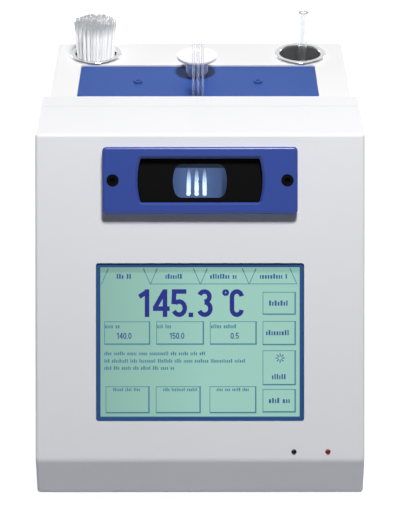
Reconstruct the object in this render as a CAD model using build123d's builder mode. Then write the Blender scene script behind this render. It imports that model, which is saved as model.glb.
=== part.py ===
from build123d import *
import os
from math import asin, cos, degrees, radians, sin, sqrt, tan

os.makedirs("parts", exist_ok=True)

# A bench instrument that watches three glass capillaries in a small oven while their samples melt.
# X runs to the right, Y to the back and Z up. The origin is on the bench, under the middle of the
# outline. The front panel leans back, and most of the front is worked out in the panel's own plane.

# Outline of the whole instrument, in millimetres
overall_width = 190.0
overall_depth = 232.0
panel_length = 188.0
panel_lean = 28.7
chin_height = 24.0
fascia_clearance = 5.0
foot_height = 8.0

# Moulded fascia: a front shell and a collar, parted by a seam
fascia_wall = 3.0
front_shell_depth = 38.2
fascia_depth = 52.7
seam_gap = 0.8
bend_round = 6.0
brow_round = 3.0
chin_round = 2.5
side_round = 1.8
moulding_fit = 0.3
collar_lip_depth = 6.0
collar_lip_wall = 2.0
collar_flange = 2.0
rib_thickness = 2.0
brow_rib_size = 22.0
chin_rib_size = 12.0
brow_rib_places = (62.0, 84.0)
chin_rib_places = (30.0, 55.0)

# Sheet-metal housing behind the fascia
side_step = 3.2
top_step = 3.0
cover_sheet = 1.5
cover_bend = 3.0
sheet_fit = 0.2
tray_sheet = 1.5
tray_flange = 12.0
rear_sheet = 1.2
rear_recess = 3.0
rear_flange = 10.0
collar_seat_gap = 0.3

# Vent slots in the cover's sides and in the tray
vent_width = 3.0
vent_height = 36.0
vent_pitch = 7.0
vent_count = 9
vent_middle_y = 48.0
vent_middle_z = 48.0
tray_vent_length = 40.0
tray_vent_count = 6
tray_vent_y = -40.0

# Rubber feet
foot_top_diameter = 18.0
foot_bottom_diameter = 15.0
foot_bore_depth = 4.5
foot_head_room = 8.0
foot_spacing_x = 150.0
front_foot_setback = 18.0
rear_foot_setback = 21.0
foot_pad_wall = 3.0

# Screws: thread, head diameter and head height
small_thread = 3.0
small_head = 5.6
small_head_height = 2.0
cap_thread = 4.0
cap_head = 6.8
cap_head_height = 4.0
thread_fit = 0.1
clear_fit = 0.3
nut_across_flats = 7.0
nut_height = 3.2
shell_screw_x = 60.0
shell_screw_length = 9.0
shell_screw_boss = 7.0
cover_screw_length = 6.0
cover_screw_front_y = -45.0
cover_screw_middle_y = 76.0
cover_screw_low_z = 15.0
rear_screw_x = 78.0
cover_screw_high_z = 104.0

# Viewer: bezel, insert, lens and tube, all square to the panel
viewer_drop = 26.8
bezel_width = 112.0
bezel_height = 38.5
bezel_proud = 6.0
bezel_corner = 2.4
bezel_edge_round = 1.6
bezel_screw_span = 100.0
counterbore_depth = 4.4
viewer_opening_width = 71.8
viewer_opening_height = 25.2
viewer_opening_bulge = 1.8
viewer_opening_corner = 1.2
viewer_opening_chamfer = 1.4
insert_sink = 4.5
shell_opening_width = 79.0
shell_opening_height = 29.0
shell_opening_corner = 3.0
insert_flange_width = 114.0
insert_flange_height = 42.0
insert_flange_thickness = 2.0
lens_window_width = 31.4
lens_window_height = 19.6
lens_window_bulge = 2.6
lens_window_corner = 4.6
lens_diameter = 36.0
lens_edge = 2.6
lens_seat_gap = 0.1
lens_focal_length = 157.0
glass_index = 1.517
lens_barrel_wall = 3.0
lens_barrel_length = 9.0
lens_ring_height = 2.0
lens_ring_width = 2.0
tube_width = 40.0
tube_height = 30.0
tube_wall = 2.0
tube_flange = 2.0
splitter_depth = 40.0
splitter_thickness = 1.1
camera_diameter = 14.0
camera_length = 22.0
camera_board_size = 28.0
camera_port_wall = 2.0
camera_port_height = 5.0
board_thickness = 1.6

# Display: a 5.7 inch panel of 115.2 by 86.4 mm behind a framed window
display_drop = 119.8
display_active_width = 115.2
display_active_height = 86.4
display_border = 2.4
display_border_sink = 1.0
display_border_lip = 2.5
display_border_flange = 1.0
display_corner = 1.4
touch_thickness = 1.4
touch_margin = 4.0
module_flange_thickness = 2.0
module_ear_width = 7.0
module_body_margin = 4.0
module_body_depth = 10.0
display_boss_diameter = 7.0
display_screw_grip = 3.4
main_board_width = 136.0
main_board_height = 86.0
main_board_standoff = 9.0
standoff_diameter = 5.5

# Status lamps near the chin
lamp_rise = 4.9
power_lamp_inset = 21.3
lamp_spacing = 19.6
lamp_diameter = 3.0
lamp_collar = 3.8
lamp_proud = 0.6
lamp_length = 7.0
lamp_board_width = 34.0
lamp_board_height = 11.0

# Top plate and what stands in it. The oven, the plate over it and the cups sit a little left of the
# middle. Setbacks run back from the panel's top edge, and insets forward from the plate's back edge.
oven_offset = -1.1
plate_width = 146.4
plate_front_setback = 54.2
plate_cup_gap = 0.3
plate_corner = 2.0
plate_sink = 0.8
plate_thickness = 1.5
plate_flange = 2.4
plate_screw_span = 74.0
plate_screw_inset = 23.9
sample_setback = 58.0
sample_spacing = 2.8
sample_hole = 2.4
capillary_diameter = 1.8
capillary_bore = 1.5
capillary_length = 100.0
capillary_end = 0.6
sample_stand = 31.7
port_inset = 12.7
port_offset = -1.7
plug_diameter = 24.8
plug_cap_thickness = 2.2
plug_height = 13.5
plug_stem_diameter = 13.6
plug_stem_taper = 1.2
plug_spigot_diameter = 11.0
plug_spigot_depth = 22.0
plug_dish_diameter = 16.6
plug_dish = 0.6
plug_edge_round = 0.7
plug_fit = 0.3
sleeve_wall = 1.6
sleeve_flange = 3.0
sleeve_flange_thickness = 1.6

# Chrome cups with what they hold
cup_span = 130.0
cup_rear_inset = 18.4
cup_bore = 25.6
cup_wall = 0.8
cup_flange_diameter = 33.0
cup_flange_thickness = 1.8
cup_floor_bevel = 3.0
cup_rim_round = 1.4
spare_stand = 23.0
spare_rings = 3
spare_pitch = 2.3
spare_wall_gap = 0.3
spare_height_step = 1.4
packing_diameter = 6.0
packing_bore = 4.0
packing_stand = 28.8
packing_offset = 1.5
loose_gap = 0.3

# Oven behind the viewer
block_width = 36.0
block_face_gap = 10.0
block_back = 20.0
block_below = 14.0
block_above = 15.5
block_window_width = 19.0
block_window_up = 6.5
block_window_down = 5.2
block_window_behind = 2.4
guide_bore = 2.2
seat_depth = 0.3
heater_diameter = 6.35
heater_length = 34.0
heater_setback = 12.0
sensor_diameter = 3.0
sensor_length = 20.0
sensor_drop = 10.0
jacket_front_wall = 4.8
jacket_side_wall = 14.0
jacket_back_wall = 8.0
jacket_floor = 7.6
jacket_fit = 0.2
lid_height = 6.0
oven_window_width = 25.6
oven_window_height = 16.0
oven_window_thickness = 2.0
oven_sight_width = 21.0
oven_sight_height = 13.0
guide_width = 14.0
guide_depth = 8.0
guide_funnel = 0.2
sample_light_diameter = 4.8
sample_light_height = 3.0
sample_light_setback = 5.0
sample_light_board = (24.0, 12.0, 1.2)
stand_sheet = 1.5
stand_width = 90.0
stand_margin = 1.5
stand_foot = 12.0
stand_window = (40.0, 60.0)
pillar_diameter = 7.0

# Power supply on the tray
supply_width = 70.0
supply_length = 104.0
supply_front_y = -28.0
supply_standoff = 6.0

# Cooling fan on the rear panel
fan_size = 60.0
fan_thickness = 15.0
fan_corner = 4.0
fan_bore = 57.0
fan_hole_pitch = 50.0
fan_middle_z = 118.0
fan_hub_diameter = 26.0
fan_strut = 3.0
fan_bearing_diameter = 7.0
fan_shaft_diameter = 3.0
shaft_clearance = 0.03
fan_tip_gap = 1.0
fan_blades = 7
fan_blade_thickness = 1.4
fan_blade_root_chord = 12.0
fan_blade_tip_chord = 12.5
fan_blade_root_angle = 50.0
fan_blade_tip_angle = 34.0
fan_hub_wall = 1.5
fan_hub_gap = 0.5
guard_thickness = 1.2
guard_bar = 1.8
guard_rings = 3

# Mains inlet, switch and computer socket on the rear panel
inlet_x = 48.0
inlet_z = 42.0
inlet_flange_width = 32.0
inlet_flange_height = 38.0
inlet_flange_thickness = 2.0
inlet_body_width = 28.4
inlet_body_height = 33.0
inlet_body_depth = 22.0
inlet_socket_width = 24.0
inlet_socket_height = 16.4
inlet_socket_depth = 16.0
inlet_socket_rise = 6.4
inlet_socket_chamfer = 4.0
pin_width = 2.0
pin_height = 4.0
pin_reach = 13.0
pin_spacing = 14.0
earth_pin_rise = 4.0
pin_tail = 7.0
fuse_width = 22.0
fuse_height = 9.0
fuse_drop = 9.8
fuse_depth = 18.0
fuse_fit = 0.3
fuse_face_proud = 0.6
switch_z = 84.0
switch_bezel_width = 24.0
switch_bezel_height = 30.0
switch_bezel_thickness = 1.2
switch_well_width = 20.0
switch_well_height = 26.0
switch_wall = 1.2
switch_depth = 18.0
rocker_fit = 0.3
rocker_half_length = 12.2
rocker_throw = 13.0
rocker_waist = 3.6
rocker_pivot_depth = 4.6
rocker_pin_diameter = 2.4
rocker_pin_length = 0.9
rocker_barrel_radius = 6.0
socket_x = -48.0
socket_z = 42.0
socket_width = 12.0
socket_height = 11.0
socket_depth = 16.0
socket_wall = 0.8
socket_tongue_width = 5.6
socket_tongue_height = 3.2
socket_flange = 3.0

# Places worked out from the outline
lean = radians(panel_lean)
front_y = -overall_depth / 2
rear_y = overall_depth / 2
chin_top_z = fascia_clearance + chin_height
panel_top_y = front_y + panel_length * sin(lean)
panel_top_z = chin_top_z + panel_length * cos(lean)
cover_top_z = panel_top_z - top_step
cover_inner_top_z = cover_top_z - cover_sheet
cover_width = overall_width - 2 * side_step
cover_inner_width = cover_width - 2 * cover_sheet
tray_width = cover_inner_width - 2 * sheet_fit
floor_z = foot_height + tray_sheet
housing_front = front_shell_depth + seam_gap + collar_flange + collar_seat_gap
rear_face_y = rear_y - rear_recess
lamp_drop = panel_length - lamp_rise
power_lamp_x = overall_width / 2 - power_lamp_inset
ready_lamp_x = power_lamp_x - lamp_spacing
rear_inner_y = rear_face_y - rear_sheet

# Working planes: the panel, the viewer's axis on it, and uprights that face the front
panel = Plane(
    origin=(0, panel_top_y, panel_top_z),
    x_dir=(1, 0, 0),
    z_dir=(0, -cos(lean), sin(lean)),
)
view = Plane(
    origin=panel.from_local_coords((0, -viewer_drop, 0)),
    x_dir=(1, 0, 0),
    z_dir=panel.z_dir,
)


def upright(y):
    """A plane facing the front at depth y, on which a sketch's coordinates are X and Z."""
    return Plane.XZ.offset(-y)


def leaning_outline(front, back, inset=0.0):
    """Corners, in Y and Z, of the band between two depths behind the leaning front."""
    top = panel_top_z - inset
    bottom = fascia_clearance + inset
    rise = (top - chin_top_z) * tan(lean)
    return [
        (front_y + front, bottom),
        (front_y + front, chin_top_z),
        (front_y + front + rise, top),
        (front_y + back + rise, top),
        (front_y + back, chin_top_z),
        (front_y + back, bottom),
    ]


def depth_behind_front(point):
    """How far a point lies behind the leaning front, measured level."""
    return point.Y - front_y - max(point.Z - chin_top_z, 0) * tan(lean)


def barrel_outline(width, height, bulge, corner):
    """A window with straight top and bottom and sides that bow outwards."""
    half_width, half_height = width / 2 - bulge, height / 2
    with BuildSketch() as outline:
        with BuildLine():
            Line((-half_width, half_height), (half_width, half_height))
            ThreePointArc((half_width, half_height), (width / 2, 0), (half_width, -half_height))
            Line((half_width, -half_height), (-half_width, -half_height))
            ThreePointArc((-half_width, -half_height), (-width / 2, 0), (-half_width, half_height))
        make_face()
        fillet(outline.vertices(), radius=corner)
    return outline.sketch


def screw(plane, thread, grip, head, head_height, socket=True):
    """A screw whose head stands on the plane and whose thread runs down behind it."""
    with BuildPart() as fastener:
        with BuildSketch(plane):
            Circle(head / 2)
        extrude(amount=head_height)
        with BuildSketch(plane):
            Circle(thread / 2)
        extrude(amount=-grip)
        if socket:
            with BuildSketch(plane.offset(head_height)):
                RegularPolygon(head / 4, 6)
            extrude(amount=-head_height / 2, mode=Mode.SUBTRACT)
    return fastener.part


# Fascia

with BuildPart() as front_shell:
    shell_outline = leaning_outline(0, front_shell_depth)
    with BuildSketch(Plane.YZ):
        Polygon(*shell_outline, align=None)
        for corner, radius in zip(shell_outline, (chin_round, bend_round, brow_round)):
            fillet(vertices().sort_by_distance((*corner, 0))[0], radius=radius)
    extrude(amount=overall_width / 2, both=True)
    side_edges = faces().filter_by(Axis.X).edges()
    fillet(
        side_edges.filter_by(lambda e: depth_behind_front(e.center()) < front_shell_depth - side_round),
        radius=side_round,
    )
    with BuildSketch(Plane.YZ):
        Polygon(
            *leaning_outline(fascia_wall / cos(lean), front_shell_depth + fascia_wall, fascia_wall),
            align=None,
        )
    extrude(amount=overall_width / 2 - fascia_wall, both=True, mode=Mode.SUBTRACT)
    # Ribs tie the panel to the top wall and the chin to the bottom wall
    brow_inner = (panel_top_y + fascia_wall / cos(lean) - fascia_wall * tan(lean), panel_top_z - fascia_wall)
    chin_inner = (front_y + fascia_wall / cos(lean), fascia_clearance + fascia_wall)
    rib_root = fascia_wall / 2
    for side in (-1, 1):
        for place in brow_rib_places:
            with BuildSketch(Plane.YZ.offset(side * place)):
                Polygon(
                    (brow_inner[0] - rib_root * tan(lean), brow_inner[1] + rib_root),
                    (brow_inner[0] + brow_rib_size, brow_inner[1] + rib_root),
                    (brow_inner[0] + brow_rib_size, brow_inner[1]),
                    (brow_inner[0] - brow_rib_size * sin(lean), brow_inner[1] - brow_rib_size * cos(lean)),
                    (
                        brow_inner[0] - brow_rib_size * sin(lean) - rib_root,
                        brow_inner[1] - brow_rib_size * cos(lean),
                    ),
                    align=None,
                )
            extrude(amount=rib_thickness / 2, both=True)
        for place in chin_rib_places:
            with BuildSketch(Plane.YZ.offset(side * place)):
                Polygon(
                    (chin_inner[0] - rib_root, chin_inner[1] - rib_root),
                    (chin_inner[0] + chin_rib_size, chin_inner[1] - rib_root),
                    (chin_inner[0] + chin_rib_size, chin_inner[1]),
                    (chin_inner[0], chin_inner[1] + chin_rib_size),
                    (chin_inner[0] - rib_root, chin_inner[1] + chin_rib_size),
                    align=None,
                )
            extrude(amount=rib_thickness / 2, both=True)
    # Bosses behind the panel take the display's screws
    display_depth = fascia_wall + display_border_flange + touch_thickness
    module_width = display_active_width + 2 * (touch_margin + module_ear_width)
    module_height = display_active_height + 2 * (touch_margin + module_ear_width)
    display_hole_x = module_width - module_ear_width
    display_hole_y = module_height - module_ear_width
    with BuildSketch(panel.offset(-fascia_wall)):
        with Locations((0, -display_drop)):
            with GridLocations(display_hole_x, display_hole_y, 2, 2):
                Circle(display_boss_diameter / 2)
    extrude(amount=-(display_depth - fascia_wall))
    with BuildSketch(panel.offset(-display_depth)):
        with Locations((0, -display_drop)):
            with GridLocations(display_hole_x, display_hole_y, 2, 2):
                Circle((small_thread + thread_fit) / 2)
    extrude(amount=display_screw_grip + thread_fit, mode=Mode.SUBTRACT)
    # Windows for the viewer and the display, bolt holes and lamp holes
    window_width = display_active_width + 2 * display_border
    window_height = display_active_height + 2 * display_border
    with BuildSketch(panel):
        with Locations((0, -viewer_drop)):
            RectangleRounded(shell_opening_width, shell_opening_height, shell_opening_corner)
            with GridLocations(bezel_screw_span, 0, 2, 1):
                Circle((cap_thread + clear_fit) / 2)
        with Locations((0, -display_drop)):
            RectangleRounded(window_width, window_height, display_corner)
        with Locations((ready_lamp_x, -lamp_drop), (power_lamp_x, -lamp_drop)):
            Circle((lamp_diameter + thread_fit) / 2)
    extrude(amount=-fascia_wall - rib_root, mode=Mode.SUBTRACT)
    # Raised pads let the front feet reach up to the level of the tray
    front_foot_y = front_y + front_foot_setback
    with BuildSketch(Plane.XY.offset(fascia_clearance)):
        with Locations((0, front_foot_y)):
            with GridLocations(foot_spacing_x, 0, 2, 1):
                Circle(foot_top_diameter / 2 + foot_pad_wall)
    extrude(amount=foot_height - fascia_clearance + foot_pad_wall)
    with BuildSketch(Plane.XY.offset(fascia_clearance)):
        with Locations((0, front_foot_y)):
            with GridLocations(foot_spacing_x, 0, 2, 1):
                Circle((foot_top_diameter + clear_fit) / 2)
    extrude(amount=foot_height - fascia_clearance, mode=Mode.SUBTRACT)
    with BuildSketch(Plane.XY.offset(fascia_clearance)):
        with Locations((0, front_foot_y)):
            with GridLocations(foot_spacing_x, 0, 2, 1):
                Circle((small_thread + thread_fit) / 2)
    extrude(amount=foot_height + foot_pad_wall, mode=Mode.SUBTRACT)
    # Clearance for the screws that hold the collar's lip, sunk flush into the bottom
    shell_screw_y = front_y + front_shell_depth - collar_lip_depth / 2
    with Locations(Plane(origin=(0, shell_screw_y, fascia_clearance), z_dir=(0, 0, -1))):
        with GridLocations(2 * shell_screw_x, 0, 2, 1):
            CounterBoreHole(
                radius=(small_thread + clear_fit) / 2,
                counter_bore_radius=(small_head + clear_fit) / 2,
                counter_bore_depth=small_head_height / 2,
                depth=fascia_wall,
            )
front_shell.part.label = "front_shell"
export_step(front_shell.part, "parts/front_shell.step")

with BuildPart() as collar_frame:
    collar_front = front_shell_depth + seam_gap
    with BuildSketch(Plane.YZ):
        Polygon(*leaning_outline(collar_front, fascia_depth), align=None)
    extrude(amount=overall_width / 2, both=True)
    side_edges = faces().filter_by(Axis.X).edges().filter_by(Axis.Y)
    fillet(side_edges, radius=side_round)
    # The lip slides into the front shell
    lip_inset = fascia_wall + moulding_fit
    with BuildSketch(Plane.YZ):
        Polygon(
            *leaning_outline(front_shell_depth - collar_lip_depth, collar_front + collar_flange, lip_inset),
            align=None,
        )
    extrude(amount=overall_width / 2 - lip_inset, both=True)
    # The housing is received from behind and stops against the flange
    with BuildSketch(Plane.YZ):
        Polygon(
            *leaning_outline(
                collar_front + collar_flange, fascia_depth + collar_flange, top_step - sheet_fit
            ),
            align=None,
        )
    extrude(amount=cover_width / 2 + sheet_fit, both=True, mode=Mode.SUBTRACT)
    with BuildSketch(Plane.YZ):
        Polygon(
            *leaning_outline(
                front_shell_depth - collar_lip_depth - collar_flange,
                collar_front + 2 * collar_flange,
                lip_inset + collar_lip_wall,
            ),
            align=None,
        )
    extrude(amount=overall_width / 2 - lip_inset - collar_lip_wall, both=True, mode=Mode.SUBTRACT)
    # Bosses in the lip take the shell screws
    with BuildSketch(Plane.XY.offset(fascia_clearance + lip_inset)):
        with Locations((0, shell_screw_y)):
            with GridLocations(2 * shell_screw_x, 0, 2, 1):
                Circle(shell_screw_boss / 2)
    extrude(amount=shell_screw_length)
    with BuildSketch(Plane.XY.offset(fascia_clearance)):
        with Locations((0, shell_screw_y)):
            with GridLocations(2 * shell_screw_x, 0, 2, 1):
                Circle((small_thread + thread_fit) / 2)
    extrude(amount=shell_screw_length + lip_inset - collar_lip_wall, mode=Mode.SUBTRACT)
collar_frame.part.label = "collar_frame"
export_step(collar_frame.part, "parts/collar_frame.step")

with BuildPart() as shell_screws:
    for x in (-shell_screw_x, shell_screw_x):
        seat = Plane(
            origin=(x, shell_screw_y, fascia_clearance + small_head_height / 2),
            x_dir=(1, 0, 0),
            z_dir=(0, 0, -1),
        )
        add(screw(seat, small_thread, shell_screw_length, small_head, small_head_height / 2, False))
shell_screws.part.label = "shell_screws"
export_step(shell_screws.part, "parts/shell_screws.step")

# Housing

cup_y = rear_y - cup_rear_inset
cup_xs = (oven_offset - cup_span / 2, oven_offset + cup_span / 2)
cup_outer = cup_bore / 2 + cup_wall
plate_front_y = panel_top_y + plate_front_setback
plate_back_y = cup_y - cup_flange_diameter / 2 - plate_cup_gap
plate_middle_y = (plate_front_y + plate_back_y) / 2
plate_length = plate_back_y - plate_front_y

with BuildPart() as housing_cover:
    housing_low_y = front_y + housing_front
    with BuildSketch(upright(housing_low_y)):
        with Locations((0, foot_height)):
            Rectangle(cover_width, cover_top_z - foot_height, align=(Align.CENTER, Align.MIN))
        fillet(vertices().group_by(Axis.Y)[-1], radius=cover_bend)
    extrude(amount=-(rear_y - housing_low_y))
    with BuildSketch(upright(housing_low_y)):
        with Locations((0, foot_height)):
            Rectangle(cover_inner_width, cover_inner_top_z - foot_height, align=(Align.CENTER, Align.MIN))
        fillet(vertices().group_by(Axis.Y)[-1], radius=cover_bend - cover_sheet)
    extrude(amount=-(rear_y - housing_low_y), mode=Mode.SUBTRACT)
    # The front edge is cut on the lean of the panel
    with BuildSketch(Plane.YZ):
        Polygon(*leaning_outline(-fascia_depth, housing_front, -fascia_depth), align=None)
    extrude(amount=overall_width, both=True, mode=Mode.SUBTRACT)
    with BuildSketch(Plane.XY.offset(cover_inner_top_z)):
        with Locations((oven_offset, plate_middle_y)):
            RectangleRounded(plate_width + 2 * sheet_fit, plate_length + 2 * sheet_fit, plate_corner)
        with Locations(*[(x, cup_y) for x in cup_xs]):
            Circle(cup_outer + sheet_fit)
    extrude(amount=cover_sheet, mode=Mode.SUBTRACT)
    with BuildSketch(Plane.YZ):
        with Locations((vent_middle_y, vent_middle_z)):
            with GridLocations(vent_pitch, 0, vent_count, 1):
                SlotOverall(vent_height, vent_width, rotation=90)
        with Locations((cover_screw_front_y, cover_screw_low_z), (cover_screw_middle_y, cover_screw_low_z)):
            Circle((small_thread + clear_fit) / 2)
        with Locations((rear_inner_y - rear_flange / 2, cover_screw_high_z)):
            Circle((small_thread + clear_fit) / 2)
    extrude(amount=cover_width, both=True, mode=Mode.SUBTRACT)
housing_cover.part.label = "housing_cover"
export_step(housing_cover.part, "parts/housing_cover.step")

rear_foot_y = rear_y - rear_foot_setback
tray_back_y = rear_inner_y - sheet_fit

with BuildPart() as base_tray:
    with BuildSketch(upright(housing_low_y)):
        with Locations((0, foot_height)):
            Rectangle(tray_width, tray_flange, align=(Align.CENTER, Align.MIN))
        with Locations((0, floor_z)):
            Rectangle(
                tray_width - 2 * tray_sheet,
                tray_flange,
                align=(Align.CENTER, Align.MIN),
                mode=Mode.SUBTRACT,
            )
    extrude(amount=-(tray_back_y - housing_low_y))
    with BuildSketch(upright(tray_back_y)):
        with Locations((0, foot_height)):
            Rectangle(tray_width, tray_flange, align=(Align.CENTER, Align.MIN))
    extrude(amount=tray_sheet)
    with BuildSketch(Plane.XY.offset(foot_height)):
        with Locations((0, rear_foot_y)):
            with GridLocations(foot_spacing_x, 0, 2, 1):
                Circle((small_thread + thread_fit) / 2)
        with Locations((0, tray_vent_y)):
            with GridLocations(2 * vent_pitch, 0, tray_vent_count, 1):
                SlotOverall(tray_vent_length, vent_width, rotation=90)
    extrude(amount=tray_sheet, mode=Mode.SUBTRACT)
    with BuildSketch(Plane.YZ):
        with Locations((cover_screw_front_y, cover_screw_low_z), (cover_screw_middle_y, cover_screw_low_z)):
            Circle((small_thread + thread_fit) / 2)
    extrude(amount=cover_width, both=True, mode=Mode.SUBTRACT)
    with BuildSketch(upright(tray_back_y)):
        with Locations((0, cover_screw_low_z)):
            with GridLocations(2 * rear_screw_x, 0, 2, 1):
                Circle((small_thread + thread_fit) / 2)
    extrude(amount=tray_sheet, mode=Mode.SUBTRACT)
base_tray.part.label = "base_tray"
export_step(base_tray.part, "parts/base_tray.step")

with BuildPart() as rear_panel:
    panel_low_z = floor_z + sheet_fit
    panel_high_z = cover_inner_top_z - sheet_fit
    with BuildSketch(upright(rear_inner_y)):
        with Locations((0, panel_low_z)):
            Rectangle(tray_width, panel_high_z - panel_low_z, align=(Align.CENTER, Align.MIN))
        fillet(vertices().group_by(Axis.Y)[-1], radius=cover_bend - cover_sheet)
    extrude(amount=-rear_sheet)
    # Folded flanges down both sides, above the tray's own
    flange_low_z = foot_height + tray_flange + 2 * rear_sheet
    flange_high_z = panel_high_z - cover_bend
    for side in (-1, 1):
        with BuildSketch(upright(rear_inner_y)):
            with Locations((side * (tray_width - rear_sheet) / 2, flange_low_z)):
                Rectangle(rear_sheet, flange_high_z - flange_low_z, align=(Align.CENTER, Align.MIN))
        extrude(amount=rear_flange)
    with BuildSketch(upright(rear_inner_y)):
        with Locations((0, fan_middle_z)):
            Circle(fan_bore / 2)
            with GridLocations(fan_hole_pitch, fan_hole_pitch, 2, 2):
                Circle((small_thread + clear_fit) / 2)
        with Locations((inlet_x, inlet_z)):
            Rectangle(inlet_body_width + 2 * clear_fit, inlet_body_height + 2 * clear_fit)
        with Locations((inlet_x, switch_z)):
            Rectangle(
                switch_well_width + 2 * (switch_wall + clear_fit),
                switch_well_height + 2 * (switch_wall + clear_fit),
            )
        with Locations((socket_x, socket_z)):
            Rectangle(socket_width + 2 * clear_fit, socket_height + 2 * clear_fit)
        with Locations((0, cover_screw_low_z)):
            with GridLocations(2 * rear_screw_x, 0, 2, 1):
                Circle((small_thread + clear_fit) / 2)
    extrude(amount=-rear_sheet, mode=Mode.SUBTRACT)
    with BuildSketch(Plane.YZ):
        with Locations((rear_inner_y - rear_flange / 2, cover_screw_high_z)):
            Circle((small_thread + thread_fit) / 2)
    extrude(amount=cover_width, both=True, mode=Mode.SUBTRACT)
rear_panel.part.label = "rear_panel"
export_step(rear_panel.part, "parts/rear_panel.step")

with BuildPart() as housing_screws:
    for side in (-1, 1):
        for y, z in (
            (cover_screw_front_y, cover_screw_low_z),
            (cover_screw_middle_y, cover_screw_low_z),
            (rear_inner_y - rear_flange / 2, cover_screw_high_z),
        ):
            seat = Plane(origin=(side * cover_width / 2, y, z), x_dir=(0, 1, 0), z_dir=(side, 0, 0))
            add(screw(seat, small_thread, cover_screw_length, small_head, small_head_height))
    for x in (-rear_screw_x, rear_screw_x):
        seat = Plane(origin=(x, rear_face_y, cover_screw_low_z), x_dir=(1, 0, 0), z_dir=(0, 1, 0))
        add(screw(seat, small_thread, cover_screw_length, small_head, small_head_height))
housing_screws.part.label = "housing_screws"
export_step(housing_screws.part, "parts/housing_screws.step")

with BuildPart() as foot:
    with BuildSketch(Plane.XZ):
        Polygon(
            ((small_thread + clear_fit) / 2, foot_height),
            (foot_top_diameter / 2, foot_height),
            (foot_bottom_diameter / 2, 0),
            (foot_head_room / 2, 0),
            (foot_head_room / 2, foot_bore_depth),
            ((small_thread + clear_fit) / 2, foot_bore_depth),
            align=None,
        )
    revolve(axis=Axis.Z)

foot_screw_length = foot_height - foot_bore_depth + foot_pad_wall

with BuildPart() as feet:
    for y in (front_foot_y, rear_foot_y):
        for x in (-foot_spacing_x / 2, foot_spacing_x / 2):
            add(foot.part.moved(Location((x, y, 0))))
feet.part.label = "feet"
export_step(feet.part, "parts/feet.step")

with BuildPart() as foot_screws:
    for y in (front_foot_y, rear_foot_y):
        for x in (-foot_spacing_x / 2, foot_spacing_x / 2):
            seat = Plane(origin=(x, y, foot_bore_depth), x_dir=(1, 0, 0), z_dir=(0, 0, -1))
            add(screw(seat, small_thread, foot_screw_length, small_head, small_head_height))
foot_screws.part.label = "foot_screws"
export_step(foot_screws.part, "parts/foot_screws.step")

# Viewer

insert_face = bezel_proud - insert_sink
flange_back = fascia_wall + insert_flange_thickness
lens_radius = (glass_index - 1) * lens_focal_length
lens_sag = lens_radius - sqrt(lens_radius**2 - (lens_diameter / 2) ** 2)
lens_shoulder = flange_back + lens_seat_gap + lens_sag
lens_back = lens_shoulder + lens_edge
barrel_back = flange_back + lens_barrel_length


def on_bezel_face(edge):
    """Whether an edge lies in the bezel's front face."""
    return abs(view.to_local_coords(edge.center()).Z - bezel_proud) < sheet_fit / 2


def within_opening(edge):
    """Whether an edge belongs to the bezel's opening."""
    middle = view.to_local_coords(edge.center())
    across = abs(middle.X) <= viewer_opening_width / 2
    return across and abs(middle.Y) <= viewer_opening_height / 2 + sheet_fit


with BuildPart() as viewer_bezel:
    with BuildSketch(view):
        RectangleRounded(bezel_width, bezel_height, bezel_corner)
    extrude(amount=bezel_proud)
    fillet(edges().filter_by(on_bezel_face), radius=bezel_edge_round)
    with BuildSketch(view):
        add(
            barrel_outline(
                viewer_opening_width, viewer_opening_height, viewer_opening_bulge, viewer_opening_corner
            )
        )
    extrude(amount=bezel_proud, mode=Mode.SUBTRACT)
    # The opening's front edge is bevelled
    chamfer(
        edges().filter_by(lambda e: on_bezel_face(e) and within_opening(e)),
        length=viewer_opening_chamfer,
    )
    with Locations(view.offset(bezel_proud)):
        with GridLocations(bezel_screw_span, 0, 2, 1):
            CounterBoreHole(
                radius=(cap_thread + clear_fit) / 2,
                counter_bore_radius=(cap_head + clear_fit) / 2,
                counter_bore_depth=counterbore_depth,
                depth=bezel_proud,
            )
viewer_bezel.part.label = "viewer_bezel"
export_step(viewer_bezel.part, "parts/viewer_bezel.step")

with BuildPart() as viewer_insert:
    with BuildSketch(view):
        add(
            barrel_outline(
                viewer_opening_width - 2 * moulding_fit,
                viewer_opening_height - 2 * moulding_fit,
                viewer_opening_bulge,
                viewer_opening_corner,
            )
        )
    extrude(amount=insert_face)
    with BuildSketch(view):
        RectangleRounded(
            shell_opening_width - 2 * moulding_fit,
            shell_opening_height - 2 * moulding_fit,
            shell_opening_corner - moulding_fit,
        )
    extrude(amount=-fascia_wall)
    with BuildSketch(view.offset(-fascia_wall)):
        RectangleRounded(insert_flange_width, insert_flange_height, shell_opening_corner)
        with GridLocations(bezel_screw_span, 0, 2, 1):
            Circle((cap_thread + clear_fit) / 2, mode=Mode.SUBTRACT)
    extrude(amount=-insert_flange_thickness)
    with BuildSketch(view.offset(-flange_back)):
        Circle((lens_diameter + clear_fit) / 2 + lens_barrel_wall)
        Circle((lens_diameter + clear_fit) / 2, mode=Mode.SUBTRACT)
    extrude(amount=-lens_barrel_length)
    with BuildSketch(view.offset(insert_face)):
        add(
            barrel_outline(
                lens_window_width, lens_window_height, lens_window_bulge, lens_window_corner
            )
        )
    extrude(amount=-(insert_face + flange_back), mode=Mode.SUBTRACT)
viewer_insert.part.label = "viewer_insert"
export_step(viewer_insert.part, "parts/viewer_insert.step")

with BuildPart() as bezel_screws:
    screw_grip = bezel_proud - counterbore_depth + flange_back + nut_height
    for x in (-bezel_screw_span / 2, bezel_screw_span / 2):
        seat = Plane(
            origin=view.from_local_coords((x, 0, bezel_proud - counterbore_depth)),
            x_dir=(1, 0, 0),
            z_dir=view.z_dir,
        )
        add(screw(seat, cap_thread, screw_grip, cap_head, cap_head_height))
bezel_screws.part.label = "bezel_screws"
export_step(bezel_screws.part, "parts/bezel_screws.step")

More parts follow.
